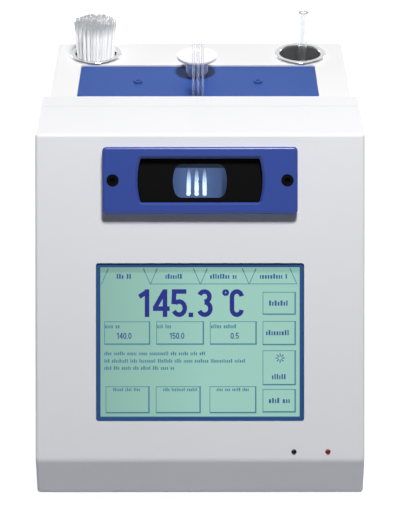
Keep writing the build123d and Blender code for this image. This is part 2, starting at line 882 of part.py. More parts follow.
with BuildPart() as bezel_nuts:
    with BuildSketch(view.offset(-flange_back)):
        with GridLocations(bezel_screw_span, 0, 2, 1):
            RegularPolygon(nut_across_flats / 2, 6, major_radius=False)
            Circle((cap_thread + thread_fit) / 2, mode=Mode.SUBTRACT)
    extrude(amount=-nut_height)
bezel_nuts.part.label = "bezel_nuts"
export_step(bezel_nuts.part, "parts/bezel_nuts.step")

with BuildPart() as magnifier_lens:
    lens_apex = -lens_shoulder + lens_sag
    with BuildSketch(Plane.XZ):
        with BuildLine():
            Line((0, -lens_back), (lens_diameter / 2, -lens_back))
            Line((lens_diameter / 2, -lens_back), (lens_diameter / 2, -lens_shoulder))
            crown = asin(lens_diameter / 2 / lens_radius) / 2
            ThreePointArc(
                (lens_diameter / 2, -lens_shoulder),
                (lens_radius * sin(crown), lens_apex - lens_radius * (1 - cos(crown))),
                (0, lens_apex),
            )
            Line((0, lens_apex), (0, -lens_back))
        make_face()
    revolve(axis=Axis.Z)
magnifier_lens.part = view.from_local_coords(magnifier_lens.part)
magnifier_lens.part.label = "magnifier_lens"
export_step(magnifier_lens.part, "parts/magnifier_lens.step")

with BuildPart() as lens_ring:
    with BuildSketch(view.offset(-lens_back)):
        Circle(lens_diameter / 2)
        Circle(lens_diameter / 2 - lens_ring_width, mode=Mode.SUBTRACT)
    extrude(amount=-lens_ring_height)
lens_ring.part.label = "lens_ring"
export_step(lens_ring.part, "parts/lens_ring.step")

# Places in the oven, on the viewer's axis
sample_y = panel_top_y + sample_setback
sample_reach = (sample_y - view.origin.Y) / cos(lean)
sample_z = view.origin.Z - sample_reach * sin(lean)
capillary_low_z = panel_top_z + sample_stand - capillary_length
block_face = sample_reach - block_face_gap
jacket_face = block_face - jacket_front_wall
sample_xs = [oven_offset + place * sample_spacing for place in (-1, 0, 1)]

with BuildPart() as viewing_tube:
    with BuildSketch(view.offset(-barrel_back)):
        Circle(lens_diameter / 2 + lens_barrel_wall)
    extrude(amount=-tube_flange)
    with BuildSketch(view.offset(-barrel_back)):
        Rectangle(tube_width, tube_height)
    extrude(amount=-(jacket_face - barrel_back))
    camera_plane = Plane(
        origin=view.from_local_coords((0, -tube_height / 2, -splitter_depth)),
        x_dir=(1, 0, 0),
        z_dir=-view.y_dir,
    )
    with BuildSketch(camera_plane.offset(-tube_wall / 2)):
        Circle(camera_diameter / 2 + sheet_fit + camera_port_wall)
    extrude(amount=camera_port_height + tube_wall / 2)
    with BuildSketch(view.offset(-barrel_back)):
        Rectangle(tube_width - 2 * tube_wall, tube_height - 2 * tube_wall)
    extrude(amount=-(jacket_face - barrel_back), mode=Mode.SUBTRACT)
    with BuildSketch(camera_plane.offset(-tube_wall)):
        Circle(camera_diameter / 2 + sheet_fit)
    extrude(amount=camera_port_height + tube_wall, mode=Mode.SUBTRACT)
viewing_tube.part.label = "viewing_tube"
export_step(viewing_tube.part, "parts/viewing_tube.step")

with BuildPart() as beam_splitter:
    splitter_plane = Plane(
        origin=view.from_local_coords((0, 0, -splitter_depth)),
        x_dir=(1, 0, 0),
        z_dir=view.y_dir + view.z_dir,
    )
    splitter_length = (tube_height - 2 * tube_wall) * sqrt(2) - splitter_thickness - clear_fit
    with BuildSketch(splitter_plane.offset(-splitter_thickness / 2)):
        Rectangle(tube_width - 2 * tube_wall, splitter_length)
    extrude(amount=splitter_thickness)
beam_splitter.part.label = "beam_splitter"
export_step(beam_splitter.part, "parts/beam_splitter.step")

with BuildPart() as camera_barrel:
    with BuildSketch(camera_plane):
        Circle(camera_diameter / 2)
    extrude(amount=camera_length)
    with BuildSketch(camera_plane):
        Circle(camera_diameter / 2 - tube_wall)
    extrude(amount=tube_wall, mode=Mode.SUBTRACT)
camera_barrel.part.label = "camera_barrel"
export_step(camera_barrel.part, "parts/camera_barrel.step")

with BuildPart() as camera_board:
    with BuildSketch(camera_plane.offset(camera_length)):
        Rectangle(camera_board_size, camera_board_size)
    extrude(amount=board_thickness)
    with BuildSketch(camera_plane.offset(camera_length + board_thickness)):
        with Locations((0, -camera_board_size / 3)):
            Rectangle(camera_board_size / 2, camera_board_size / 5)
    extrude(amount=board_thickness)
camera_board.part.label = "camera_board"
export_step(camera_board.part, "parts/camera_board.step")

# Display

touch_front = fascia_wall + display_border_flange
module_front = touch_front + touch_thickness

with BuildPart() as display_border_frame:
    with BuildSketch(panel.offset(-display_border_sink)):
        with Locations((0, -display_drop)):
            RectangleRounded(window_width - moulding_fit, window_height - moulding_fit, display_corner)
    extrude(amount=-(fascia_wall - display_border_sink))
    with BuildSketch(panel.offset(-fascia_wall)):
        with Locations((0, -display_drop)):
            Rectangle(window_width + 2 * display_border_lip, window_height + 2 * display_border_lip)
    extrude(amount=-display_border_flange)
    with BuildSketch(panel.offset(-display_border_sink)):
        with Locations((0, -display_drop)):
            Rectangle(display_active_width, display_active_height)
    extrude(amount=-touch_front, mode=Mode.SUBTRACT)
display_border_frame.part.label = "display_border_frame"
export_step(display_border_frame.part, "parts/display_border_frame.step")

with BuildPart() as touch_screen:
    with BuildSketch(panel.offset(-touch_front)):
        with Locations((0, -display_drop)):
            Rectangle(display_active_width + 2 * touch_margin, display_active_height + 2 * touch_margin)
    extrude(amount=-touch_thickness)
touch_screen.part.label = "touch_screen"
export_step(touch_screen.part, "parts/touch_screen.step")

with BuildPart() as display_module:
    with BuildSketch(panel.offset(-module_front)):
        with Locations((0, -display_drop)):
            Rectangle(module_width, module_height)
            with GridLocations(display_hole_x, display_hole_y, 2, 2):
                Circle((small_thread + clear_fit) / 2, mode=Mode.SUBTRACT)
    extrude(amount=-module_flange_thickness)
    with BuildSketch(panel.offset(-module_front - module_flange_thickness)):
        with Locations((0, -display_drop)):
            Rectangle(
                display_active_width + 2 * module_body_margin, display_active_height + 2 * module_body_margin
            )
    extrude(amount=-module_body_depth)
display_module.part.label = "display_module"
export_step(display_module.part, "parts/display_module.step")

module_back = module_front + module_flange_thickness + module_body_depth

with BuildPart() as main_board:
    board_front = module_back + main_board_standoff
    board_back = board_front + board_thickness
    with BuildSketch(panel.offset(-board_front)):
        with Locations((0, -display_drop)):
            Rectangle(main_board_width, main_board_height)
    extrude(amount=-board_thickness)
    # Processor, memory, two headers and a power connector on the back
    with BuildSketch(panel.offset(-board_back)):
        with Locations((0, -display_drop)):
            with Locations((-main_board_width / 6, 0)):
                Rectangle(main_board_width / 5, main_board_width / 5)
            with Locations((main_board_width / 8, main_board_height / 8)):
                with GridLocations(0, main_board_height / 4, 1, 2):
                    Rectangle(main_board_width / 7, main_board_height / 7)
    extrude(amount=-board_thickness)
    with BuildSketch(panel.offset(-board_back)):
        with Locations((0, -display_drop - main_board_height / 2 + standoff_diameter)):
            with GridLocations(main_board_width / 2, 0, 2, 1):
                Rectangle(main_board_width / 4, standoff_diameter)
    extrude(amount=-main_board_standoff)
main_board.part.label = "main_board"
export_step(main_board.part, "parts/main_board.step")

# Status lamps

lamp_board_front = lamp_length - lamp_proud

for label, x in (("ready_lamp", ready_lamp_x), ("power_lamp", power_lamp_x)):
    lamp_plane = Plane(
        origin=panel.from_local_coords((x, -lamp_drop, 0)), x_dir=(1, 0, 0), z_dir=panel.z_dir
    )
    with BuildPart() as lamp:
        with BuildSketch(lamp_plane.offset(lamp_proud)):
            Circle(lamp_diameter / 2)
        extrude(amount=-lamp_length)
        tip = edges().sort_by(SortBy.LENGTH).filter_by(
            lambda e: abs(lamp_plane.to_local_coords(e.center()).Z - lamp_proud) < 0.01
        )
        fillet(tip, radius=lamp_diameter / 4)
        with BuildSketch(lamp_plane.offset(-fascia_wall - moulding_fit)):
            Circle(lamp_collar / 2)
        extrude(amount=-(lamp_board_front - fascia_wall - moulding_fit))
    lamp.part.label = label
    export_step(lamp.part, f"parts/{label}.step")

with BuildPart() as lamp_board:
    with BuildSketch(panel.offset(-lamp_board_front)):
        with Locations(((ready_lamp_x + power_lamp_x) / 2, -lamp_drop)):
            Rectangle(lamp_board_width, lamp_board_height)
    extrude(amount=-board_thickness)
lamp_board.part.label = "lamp_board"
export_step(lamp_board.part, "parts/lamp_board.step")

# Top plate and what stands in it

plate_top_z = cover_top_z - plate_sink
plate_low_z = cover_inner_top_z - plate_thickness
port_y = plate_back_y - port_inset
plate_screw_y = plate_back_y - plate_screw_inset

with BuildPart() as top_plate:
    with BuildSketch(Plane.XY.offset(plate_low_z)):
        with Locations((oven_offset, plate_middle_y)):
            Rectangle(plate_width + 2 * plate_flange, plate_length + 2 * plate_flange)
    extrude(amount=plate_thickness)
    with BuildSketch(Plane.XY.offset(cover_inner_top_z)):
        with Locations((oven_offset, plate_middle_y)):
            RectangleRounded(plate_width, plate_length, plate_corner)
    extrude(amount=plate_top_z - cover_inner_top_z)
    with BuildSketch(Plane.XY.offset(plate_low_z)):
        with Locations(*[(x, sample_y) for x in sample_xs]):
            Circle(sample_hole / 2)
        with Locations((port_offset, port_y)):
            Circle(plug_spigot_diameter / 2 + plug_fit)
        with Locations((oven_offset, plate_screw_y)):
            with GridLocations(plate_screw_span, 0, 2, 1):
                Circle((small_thread + clear_fit) / 2)
    extrude(amount=plate_top_z - plate_low_z, mode=Mode.SUBTRACT)
top_plate.part.label = "top_plate"
export_step(top_plate.part, "parts/top_plate.step")

with BuildPart() as plate_screws:
    for x in (oven_offset - plate_screw_span / 2, oven_offset + plate_screw_span / 2):
        seat = Plane(origin=(x, plate_screw_y, plate_top_z), x_dir=(1, 0, 0), z_dir=(0, 0, 1))
        add(screw(seat, small_thread, cover_screw_length, small_head, small_head_height / 2))
plate_screws.part.label = "plate_screws"
export_step(plate_screws.part, "parts/plate_screws.step")

plug_cap_low_z = plate_top_z + plug_height - plug_cap_thickness
plug_cap_top_z = plate_top_z + plug_height
plug_seat_z = plate_top_z + plug_fit
plug_low_z = plate_top_z - plug_spigot_depth

with BuildPart() as port_plug:
    with BuildSketch(Plane.XZ):
        Polygon(
            (0, plug_low_z),
            (plug_spigot_diameter / 2 - plug_fit, plug_low_z),
            (plug_spigot_diameter / 2, plug_low_z + plug_fit),
            (plug_spigot_diameter / 2, plug_seat_z),
            (plug_stem_diameter / 2 - plug_stem_taper, plug_seat_z),
            (plug_stem_diameter / 2, plug_seat_z + 2 * plug_stem_taper),
            (plug_stem_diameter / 2, plug_cap_low_z),
            (plug_diameter / 2, plug_cap_low_z),
            (plug_diameter / 2, plug_cap_top_z),
            (plug_dish_diameter / 2, plug_cap_top_z),
            (plug_dish_diameter / 2 - plug_dish, plug_cap_top_z - plug_dish),
            (0, plug_cap_top_z - plug_dish),
            align=None,
        )
        for z in (plug_cap_low_z, plug_cap_top_z):
            rim = vertices().sort_by_distance((plug_diameter / 2, z, 0))[0]
            fillet(rim, radius=plug_edge_round)
    revolve(axis=Axis.Z)
port_plug.part = port_plug.part.moved(Location((port_offset, port_y, 0)))
port_plug.part.label = "port_plug"
export_step(port_plug.part, "parts/port_plug.step")

with BuildPart() as port_sleeve:
    sleeve_bore = plug_spigot_diameter / 2 + plug_fit
    sleeve_low_z = plug_low_z - loose_gap - sleeve_wall
    with BuildSketch(Plane.XY.offset(sleeve_low_z)):
        with Locations((port_offset, port_y)):
            Circle(sleeve_bore + sleeve_wall)
    extrude(amount=plate_low_z - sleeve_low_z)
    with BuildSketch(Plane.XY.offset(plate_low_z)):
        with Locations((port_offset, port_y)):
            Circle(sleeve_bore + sleeve_wall + sleeve_flange)
    extrude(amount=-sleeve_flange_thickness)
    with BuildSketch(Plane.XY.offset(plate_low_z)):
        with Locations((port_offset, port_y)):
            Circle(sleeve_bore)
    extrude(amount=-(plate_low_z - sleeve_low_z - sleeve_wall), mode=Mode.SUBTRACT)
port_sleeve.part.label = "port_sleeve"
export_step(port_sleeve.part, "parts/port_sleeve.step")


def closed_tube(diameter, bore, length, floor):
    """A glass tube, closed below and open above, standing on the origin."""
    with BuildPart() as glass:
        with BuildSketch():
            Circle(diameter / 2)
        extrude(amount=length)
        with BuildSketch(Plane.XY.offset(floor)):
            Circle(bore / 2)
        extrude(amount=length - floor, mode=Mode.SUBTRACT)
    return glass.part


capillary = closed_tube(capillary_diameter, capillary_bore, capillary_length, capillary_end)

for label, x in zip(("left", "middle", "right"), sample_xs):
    with BuildPart() as sample_capillary:
        add(capillary.moved(Location((x, sample_y, capillary_low_z))))
    sample_capillary.part.label = f"sample_capillary_{label}"
    export_step(sample_capillary.part, f"parts/sample_capillary_{label}.step")

# Cups

cup_rim_z = cover_top_z + cup_flange_thickness
cup_floor_z = cover_top_z + spare_stand - capillary_length - loose_gap
cup_low_z = cup_floor_z - cup_wall

for label, cup_x in zip(("left_cup", "right_cup"), cup_xs):
    with BuildPart() as cup:
        with BuildSketch(Plane.XZ):
            Polygon(
                (0, cup_low_z),
                (cup_outer, cup_low_z),
                (cup_outer, cover_top_z),
                (cup_flange_diameter / 2, cover_top_z),
                (cup_flange_diameter / 2, cup_rim_z),
                (cup_bore / 2, cup_rim_z),
                (cup_bore / 2, cup_floor_z),
                (0, cup_floor_z),
                align=None,
            )
            chamfer(vertices().sort_by_distance((cup_outer, cup_low_z, 0))[0], length=cup_floor_bevel)
            chamfer(
                vertices().sort_by_distance((cup_bore / 2, cup_floor_z, 0))[0],
                length=cup_floor_bevel - cup_wall / 2,
            )
            for x in (cup_flange_diameter / 2, cup_bore / 2):
                fillet(vertices().sort_by_distance((x, cup_rim_z, 0))[0], radius=cup_rim_round)
        revolve(axis=Axis.Z)
    cup.part = cup.part.moved(Location((cup_x, cup_y, 0)))
    cup.part.label = label
    export_step(cup.part, f"parts/{label}.step")

with BuildPart() as spare_capillaries:
    # Rings of tubes stand close at the foot and lean out until they meet the cup's rim
    rim_radius = cup_bore / 2 - capillary_diameter / 2 - spare_wall_gap
    rim_height = cup_rim_z - cup_floor_z
    add(capillary.moved(Location((cup_xs[0], cup_y, cup_floor_z + loose_gap))))
    for ring in range(1, spare_rings + 1):
        foot_radius = ring * spare_pitch
        lean_out = asin((rim_radius - spare_rings * spare_pitch) / rim_height) * ring / spare_rings
        for place in range(6 * ring):
            turn = place * 60 / ring
            rise = spare_height_step * ((place * 2 + ring) % 3) / 2
            seat = (
                Location((cup_xs[0], cup_y, cup_floor_z + loose_gap + rise))
                * Location((0, 0, 0), (0, 0, turn))
                * Location((foot_radius, 0, 0), (0, degrees(lean_out), 0))
            )
            add(capillary.moved(seat))
spare_capillaries.part.label = "spare_capillaries"
export_step(spare_capillaries.part, "parts/spare_capillaries.step")

with BuildPart() as packing_tube:
    packing_length = packing_stand + cover_top_z - cup_floor_z - loose_gap
    packing = closed_tube(packing_diameter, packing_bore, packing_length, 0)
    add(packing.moved(Location((cup_xs[1] + packing_offset, cup_y, cup_floor_z + loose_gap))))
packing_tube.part.label = "packing_tube"
export_step(packing_tube.part, "parts/packing_tube.step")

# Oven

block_low_z = sample_z - block_below
block_top_z = sample_z + block_above
block_back_y = sample_y + block_back
lid_top_z = block_top_z + lid_height
jacket_low_z = block_low_z - jacket_floor
jacket_back_y = block_back_y + jacket_back_wall
jacket_half_width = block_width / 2 + jacket_side_wall
seat_z = capillary_low_z - seat_depth


with BuildPart() as heater_block:
    with BuildSketch(Plane.XY.offset(block_low_z)):
        with Locations((oven_offset, block_back_y)):
            Rectangle(block_width, overall_depth / 2, align=(Align.CENTER, Align.MAX))
    extrude(amount=block_top_z - block_low_z)
    with BuildSketch(view.offset(-block_face)):
        Rectangle(overall_width, 2 * overall_width)
    extrude(amount=overall_depth, mode=Mode.SUBTRACT)
    # The sight window runs in past the capillaries, and their bores come down into it
    with BuildSketch(view.offset(-block_face)):
        with Locations((oven_offset, (block_window_up - block_window_down) / 2)):
            Rectangle(block_window_width, block_window_up + block_window_down)
    extrude(amount=-(block_face_gap + block_window_behind), mode=Mode.SUBTRACT)
    with BuildSketch(Plane.XY.offset(seat_z)):
        with Locations(*[(x, sample_y) for x in sample_xs]):
            Circle(guide_bore / 2)
    extrude(amount=block_top_z - seat_z, mode=Mode.SUBTRACT)
    heater_y = sample_y + heater_setback
    with BuildSketch(Plane.YZ):
        with Locations((heater_y, sample_z)):
            Circle((heater_diameter + thread_fit) / 2)
    extrude(amount=overall_width, both=True, mode=Mode.SUBTRACT)
    sensor_y = heater_y
    sensor_z = sample_z - sensor_drop
    block_right_x = oven_offset + block_width / 2
    with BuildSketch(Plane.YZ.offset(block_right_x)):
        with Locations((sensor_y, sensor_z)):
            Circle((sensor_diameter + thread_fit) / 2)
    extrude(amount=-(sensor_length + thread_fit), mode=Mode.SUBTRACT)
    light_y = sample_y + sample_light_setback
    with BuildSketch(Plane.XY.offset(block_low_z)):
        with Locations((oven_offset, light_y)):
            Circle((sample_light_diameter + clear_fit) / 2)
    extrude(amount=sample_z - block_low_z - block_window_down, mode=Mode.SUBTRACT)
heater_block.part.label = "heater_block"
export_step(heater_block.part, "parts/heater_block.step")

with BuildPart() as cartridge_heater:
    with BuildSketch(Plane.YZ.offset(oven_offset)):
        with Locations((heater_y, sample_z)):
            Circle(heater_diameter / 2)
    extrude(amount=heater_length / 2, both=True)
cartridge_heater.part.label = "cartridge_heater"
export_step(cartridge_heater.part, "parts/cartridge_heater.step")

with BuildPart() as temperature_sensor:
    with BuildSketch(Plane.YZ.offset(block_right_x)):
        with Locations((sensor_y, sensor_z)):
            Circle(sensor_diameter / 2)
    extrude(amount=-sensor_length)
temperature_sensor.part.label = "temperature_sensor"
export_step(temperature_sensor.part, "parts/temperature_sensor.step")

with BuildPart() as oven_jacket:
    with BuildSketch(Plane.XY.offset(jacket_low_z)):
        with Locations((oven_offset, jacket_back_y)):
            Rectangle(2 * jacket_half_width, overall_depth / 2, align=(Align.CENTER, Align.MAX))
    extrude(amount=block_top_z - jacket_low_z)
    with BuildSketch(view.offset(-jacket_face)):
        Rectangle(overall_width, 2 * overall_width)
    extrude(amount=overall_depth, mode=Mode.SUBTRACT)
    # The pocket for the heater block follows its slanted face
    with BuildSketch(Plane.YZ):
        slope_y = view.from_local_coords((0, 0, -block_face + jacket_fit))
        pocket_low = (slope_y.Y - (slope_y.Z - block_low_z) * tan(lean), block_low_z)
        pocket_high = (slope_y.Y + (block_top_z - slope_y.Z) * tan(lean), block_top_z)
        Polygon(
            pocket_low,
            pocket_high,
            (block_back_y + jacket_fit, block_top_z),
            (block_back_y + jacket_fit, block_low_z),
            align=None,
        )
    extrude(amount=block_width / 2 + jacket_fit + abs(oven_offset), both=True, mode=Mode.SUBTRACT)
    with BuildSketch(view.offset(-jacket_face)):
        Rectangle(oven_sight_width, oven_sight_height)
    extrude(amount=-jacket_front_wall, mode=Mode.SUBTRACT)
    with BuildSketch(view.offset(-jacket_face)):
        Rectangle(oven_window_width + jacket_fit, oven_window_height + jacket_fit)
    extrude(amount=-oven_window_thickness, mode=Mode.SUBTRACT)
    # Room under the block for the sample light
    board_size_x, board_size_y, light_board = sample_light_board
    with BuildSketch(Plane.XY.offset(block_low_z)):
        with Locations((oven_offset, light_y)):
            Rectangle(board_size_x + 2 * jacket_fit, board_size_y + 2 * jacket_fit)
    extrude(amount=-(light_board + jacket_fit), mode=Mode.SUBTRACT)
oven_jacket.part.label = "oven_jacket"
export_step(oven_jacket.part, "parts/oven_jacket.step")

with BuildPart() as oven_lid:
    with BuildSketch(Plane.XY.offset(block_top_z)):
        with Locations((oven_offset, jacket_back_y)):
            Rectangle(2 * jacket_half_width, overall_depth / 2, align=(Align.CENTER, Align.MAX))
        with Locations((oven_offset, sample_y)):
            Rectangle(guide_width + 2 * jacket_fit, guide_depth + 2 * jacket_fit, mode=Mode.SUBTRACT)
    extrude(amount=lid_height)
    with BuildSketch(view.offset(-jacket_face)):
        Rectangle(overall_width, 2 * overall_width)
    extrude(amount=overall_depth, mode=Mode.SUBTRACT)
oven_lid.part.label = "oven_lid"
export_step(oven_lid.part, "parts/oven_lid.step")

with BuildPart() as oven_window:
    with BuildSketch(view.offset(-jacket_face)):
        Rectangle(oven_window_width, oven_window_height)
    extrude(amount=-oven_window_thickness)
oven_window.part.label = "oven_window"
export_step(oven_window.part, "parts/oven_window.step")

with BuildPart() as sample_light:
    with BuildSketch(Plane.XY.offset(block_low_z)):
        with Locations((oven_offset, light_y)):
            Rectangle(board_size_x, board_size_y)
    extrude(amount=-light_board)
    with BuildSketch(Plane.XY.offset(block_low_z)):
        with Locations((oven_offset, light_y)):
            Circle(sample_light_diameter / 2)
    extrude(amount=sample_light_height)
sample_light.part.label = "sample_light"
export_step(sample_light.part, "parts/sample_light.step")

with BuildPart() as capillary_guide:
    with BuildSketch(Plane.XY.offset(block_top_z)):
        with Locations((oven_offset, sample_y)):
            Rectangle(guide_width, guide_depth)
        with Locations(*[(x, sample_y) for x in sample_xs]):
            Circle(guide_bore / 2, mode=Mode.SUBTRACT)
    extrude(amount=plate_low_z - block_top_z)
    chamfer(faces().sort_by(Axis.Z)[-1].inner_wires().edges(), length=guide_funnel)
capillary_guide.part.label = "capillary_guide"
export_step(capillary_guide.part, "parts/capillary_guide.step")

stand_top_z = jacket_low_z
stand_front_y = view.from_local_coords((0, 0, -jacket_face)).Y - (
    view.from_local_coords((0, 0, -jacket_face)).Z - stand_top_z
) * tan(lean) - stand_margin

with BuildPart() as oven_stand:
    with BuildSketch(upright(stand_front_y)):
        with Locations((0, stand_top_z)):
            Rectangle(stand_width, stand_sheet, align=(Align.CENTER, Align.MAX))
        for side in (-1, 1):
            with Locations((side * (stand_width - stand_sheet) / 2, floor_z)):
                Rectangle(stand_sheet, stand_top_z - floor_z, align=(Align.CENTER, Align.MIN))
            with Locations((side * (stand_width + stand_foot - stand_sheet) / 2, floor_z)):
                Rectangle(stand_foot + stand_sheet, stand_sheet, align=(Align.CENTER, Align.MIN))
    extrude(amount=-(jacket_back_y - stand_front_y))
    stand_middle_y = (stand_front_y + jacket_back_y) / 2
    with BuildSketch(Plane.YZ):
        with Locations((stand_middle_y, (floor_z + stand_top_z) / 2)):
            RectangleRounded(stand_window[0], stand_window[1], cover_bend)
    extrude(amount=stand_width, both=True, mode=Mode.SUBTRACT)
oven_stand.part.label = "oven_stand"
export_step(oven_stand.part, "parts/oven_stand.step")

with BuildPart() as plate_pillars:
    with BuildSketch(Plane.XY.offset(stand_top_z)):
        with Locations((oven_offset, plate_screw_y)):
            with GridLocations(plate_screw_span, 0, 2, 1):
                RegularPolygon(pillar_diameter / 2, 6)
    extrude(amount=plate_low_z - stand_top_z)
    with BuildSketch(Plane.XY.offset(plate_low_z)):
        with Locations((oven_offset, plate_screw_y)):
            with GridLocations(plate_screw_span, 0, 2, 1):
                Circle((small_thread + thread_fit) / 2)
    extrude(amount=-cover_screw_length, mode=Mode.SUBTRACT)
plate_pillars.part.label = "plate_pillars"
export_step(plate_pillars.part, "parts/plate_pillars.step")

# Power supply

supply_board_z = floor_z + supply_standoff
supply_middle_y = supply_front_y + supply_length / 2
supply_holes = (supply_width - 2 * standoff_diameter, supply_length - 2 * standoff_diameter)

with BuildPart() as standoffs:
    with BuildSketch(panel.offset(-module_back)):
        with Locations((0, -display_drop)):
            with GridLocations(
                display_active_width - standoff_diameter,
                main_board_height - 2 * standoff_diameter,
                2,
                2,
            ):
                RegularPolygon(standoff_diameter / 2, 6)
    extrude(amount=-main_board_standoff)
    with BuildSketch(Plane.XY.offset(floor_z)):
        with Locations((0, supply_middle_y)):
            with GridLocations(*supply_holes, 2, 2):
                RegularPolygon(standoff_diameter / 2, 6)
                Circle((small_thread + thread_fit) / 2, mode=Mode.SUBTRACT)
    extrude(amount=supply_standoff)
standoffs.part.label = "standoffs"
export_step(standoffs.part, "parts/standoffs.step")

with BuildPart() as power_supply:
    with BuildSketch(Plane.XY.offset(supply_board_z)):
        with Locations((0, supply_middle_y)):
            Rectangle(supply_width, supply_length)
            with GridLocations(*supply_holes, 2, 2):
                Circle((small_thread + clear_fit) / 2, mode=Mode.SUBTRACT)
    extrude(amount=board_thickness)
    component_z = supply_board_z + board_thickness
    # Transformer, two heat sinks, a reservoir capacitor and two terminal blocks
    with BuildSketch(Plane.XY.offset(component_z)):
        with Locations((0, supply_middle_y)):
            Rectangle(supply_width / 2.5, supply_length / 3.5)
    extrude(amount=supply_width / 3)
    with BuildSketch(Plane.XY.offset(component_z)):
        with Locations((0, supply_middle_y)):
            with GridLocations(supply_width - 2 * standoff_diameter, 0, 2, 1):
                Rectangle(small_thread, supply_length / 2)
    extrude(amount=supply_width / 3)
    with BuildSketch(Plane.XY.offset(component_z)):
        with Locations((0, supply_middle_y - supply_length / 3)):
            Circle(supply_width / 7)
    extrude(amount=supply_width / 2.5)
    with BuildSketch(Plane.XY.offset(component_z)):
        with Locations((0, supply_middle_y)):
            with GridLocations(0, supply_length - 2 * standoff_diameter, 1, 2):
                Rectangle(supply_width / 3, 2 * small_thread)
    extrude(amount=2 * standoff_diameter)
power_supply.part.label = "power_supply"
export_step(power_supply.part, "parts/power_supply.step")

with BuildPart() as board_screws:
    display_grip = module_flange_thickness + display_screw_grip
    for x in (-display_hole_x / 2, display_hole_x / 2):
        for y in (-display_hole_y / 2, display_hole_y / 2):
            seat = Plane(
                origin=panel.from_local_coords(
                    (x, y - display_drop, -module_front - module_flange_thickness)
                ),
                x_dir=(1, 0, 0),
                z_dir=-panel.z_dir,
            )
            add(screw(seat, small_thread, display_grip, small_head, small_head_height, False))
    for x in (-supply_holes[0] / 2, supply_holes[0] / 2):
        for y in (-supply_holes[1] / 2, supply_holes[1] / 2):
            seat = Plane(origin=(x, supply_middle_y + y, component_z), x_dir=(1, 0, 0), z_dir=(0, 0, 1))
            add(screw(seat, small_thread, cover_screw_length, small_head, small_head_height, False))
board_screws.part.label = "board_screws"
export_step(board_screws.part, "parts/board_screws.step")

# Cooling fan

fan_front_y = rear_inner_y - fan_thickness
hub_front_y = fan_front_y + fan_strut + fan_hub_gap
hub_back_y = rear_inner_y - fan_hub_gap
fan_axis = Axis((0, fan_front_y, fan_middle_z), (0, 1, 0))

with BuildPart() as fan_frame:
    with BuildSketch(upright(fan_front_y)):
        with Locations((0, fan_middle_z)):
            RectangleRounded(fan_size, fan_size, fan_corner)
            Circle(fan_bore / 2, mode=Mode.SUBTRACT)
            with GridLocations(fan_hole_pitch, fan_hole_pitch, 2, 2):
                Circle((small_thread + thread_fit) / 2, mode=Mode.SUBTRACT)
    extrude(amount=-fan_thickness)
    with BuildSketch(upright(fan_front_y)):
        with Locations((0, fan_middle_z)):
            Circle(fan_hub_diameter / 2)
            for turn in (45, 135):
                Rectangle(fan_bore + fan_strut, fan_strut, rotation=turn)
    extrude(amount=-fan_strut)
    with BuildSketch(upright(fan_front_y)):
        with Locations((0, fan_middle_z)):
            Circle(fan_bearing_diameter / 2)
    extrude(amount=-(hub_back_y - fan_hub_wall - fan_hub_gap - fan_front_y))
    with BuildSketch(upright(fan_front_y)):
        with Locations((0, fan_middle_z)):
            Circle(fan_shaft_diameter / 2 + shaft_clearance)
    extrude(amount=-fan_thickness, mode=Mode.SUBTRACT)
fan_frame.part.label = "fan_frame"
export_step(fan_frame.part, "parts/fan_frame.step")

with BuildPart() as fan_blade:
    blade_middle_y = (hub_front_y + hub_back_y) / 2
    blade_root_z = fan_middle_z + fan_hub_diameter / 2 - fan_hub_wall / 2
    blade_tip_z = fan_middle_z + fan_bore / 2 - fan_tip_gap
    for z, chord, angle in (
        (blade_root_z, fan_blade_root_chord, fan_blade_root_angle),
        (blade_tip_z, fan_blade_tip_chord, fan_blade_tip_angle),
    ):
        with BuildSketch(Plane.XY.offset(z)):
            with Locations((0, blade_middle_y)):
                Rectangle(chord, fan_blade_thickness, rotation=angle)
    loft()

with BuildPart() as fan_rotor:
    with BuildSketch(upright(hub_front_y)):
        with Locations((0, fan_middle_z)):
            Circle(fan_hub_diameter / 2)
    extrude(amount=-(hub_back_y - hub_front_y))
    with BuildSketch(upright(hub_front_y)):
        with Locations((0, fan_middle_z)):
            Circle(fan_hub_diameter / 2 - fan_hub_wall)
    extrude(amount=-(hub_back_y - hub_front_y - fan_hub_wall), mode=Mode.SUBTRACT)
    for blade in range(fan_blades):
        add(fan_blade.part.rotate(fan_axis, blade * 360 / fan_blades))
    with BuildSketch(upright(fan_front_y)):
        with Locations((0, fan_middle_z)):
            Circle(fan_shaft_diameter / 2)
    extrude(amount=-(hub_back_y - fan_front_y))
fan_rotor.part.label = "fan_rotor"
export_step(fan_rotor.part, "parts/fan_rotor.step")

with BuildPart() as fan_guard:
    with BuildSketch(upright(rear_face_y)):
        with Locations((0, fan_middle_z)):
            ring_pitch = (fan_bore / 2) / guard_rings
            for ring in range(1, guard_rings + 1):
                Circle(ring * ring_pitch + guard_bar / 2)
                Circle(ring * ring_pitch - guard_bar / 2, mode=Mode.SUBTRACT)
            for turn in (45, 135):
                Rectangle(fan_hole_pitch * sqrt(2), guard_bar, rotation=turn)
            with GridLocations(fan_hole_pitch, fan_hole_pitch, 2, 2):
                Circle(small_thread)
            with GridLocations(fan_hole_pitch, fan_hole_pitch, 2, 2):
                Circle((small_thread + clear_fit) / 2, mode=Mode.SUBTRACT)
    extrude(amount=-guard_thickness)
fan_guard.part.label = "fan_guard"
export_step(fan_guard.part, "parts/fan_guard.step")

with BuildPart() as fan_screws:
    fan_grip = guard_thickness + rear_sheet + fan_thickness / 2
    for dx in (-fan_hole_pitch / 2, fan_hole_pitch / 2):
        for dz in (-fan_hole_pitch / 2, fan_hole_pitch / 2):
            seat = Plane(
                origin=(dx, rear_face_y + guard_thickness, fan_middle_z + dz),
                x_dir=(1, 0, 0),
                z_dir=(0, 1, 0),
            )
            add(screw(seat, small_thread, fan_grip, small_head, rear_recess - guard_thickness))
fan_screws.part.label = "fan_screws"
export_step(fan_screws.part, "parts/fan_screws.step")

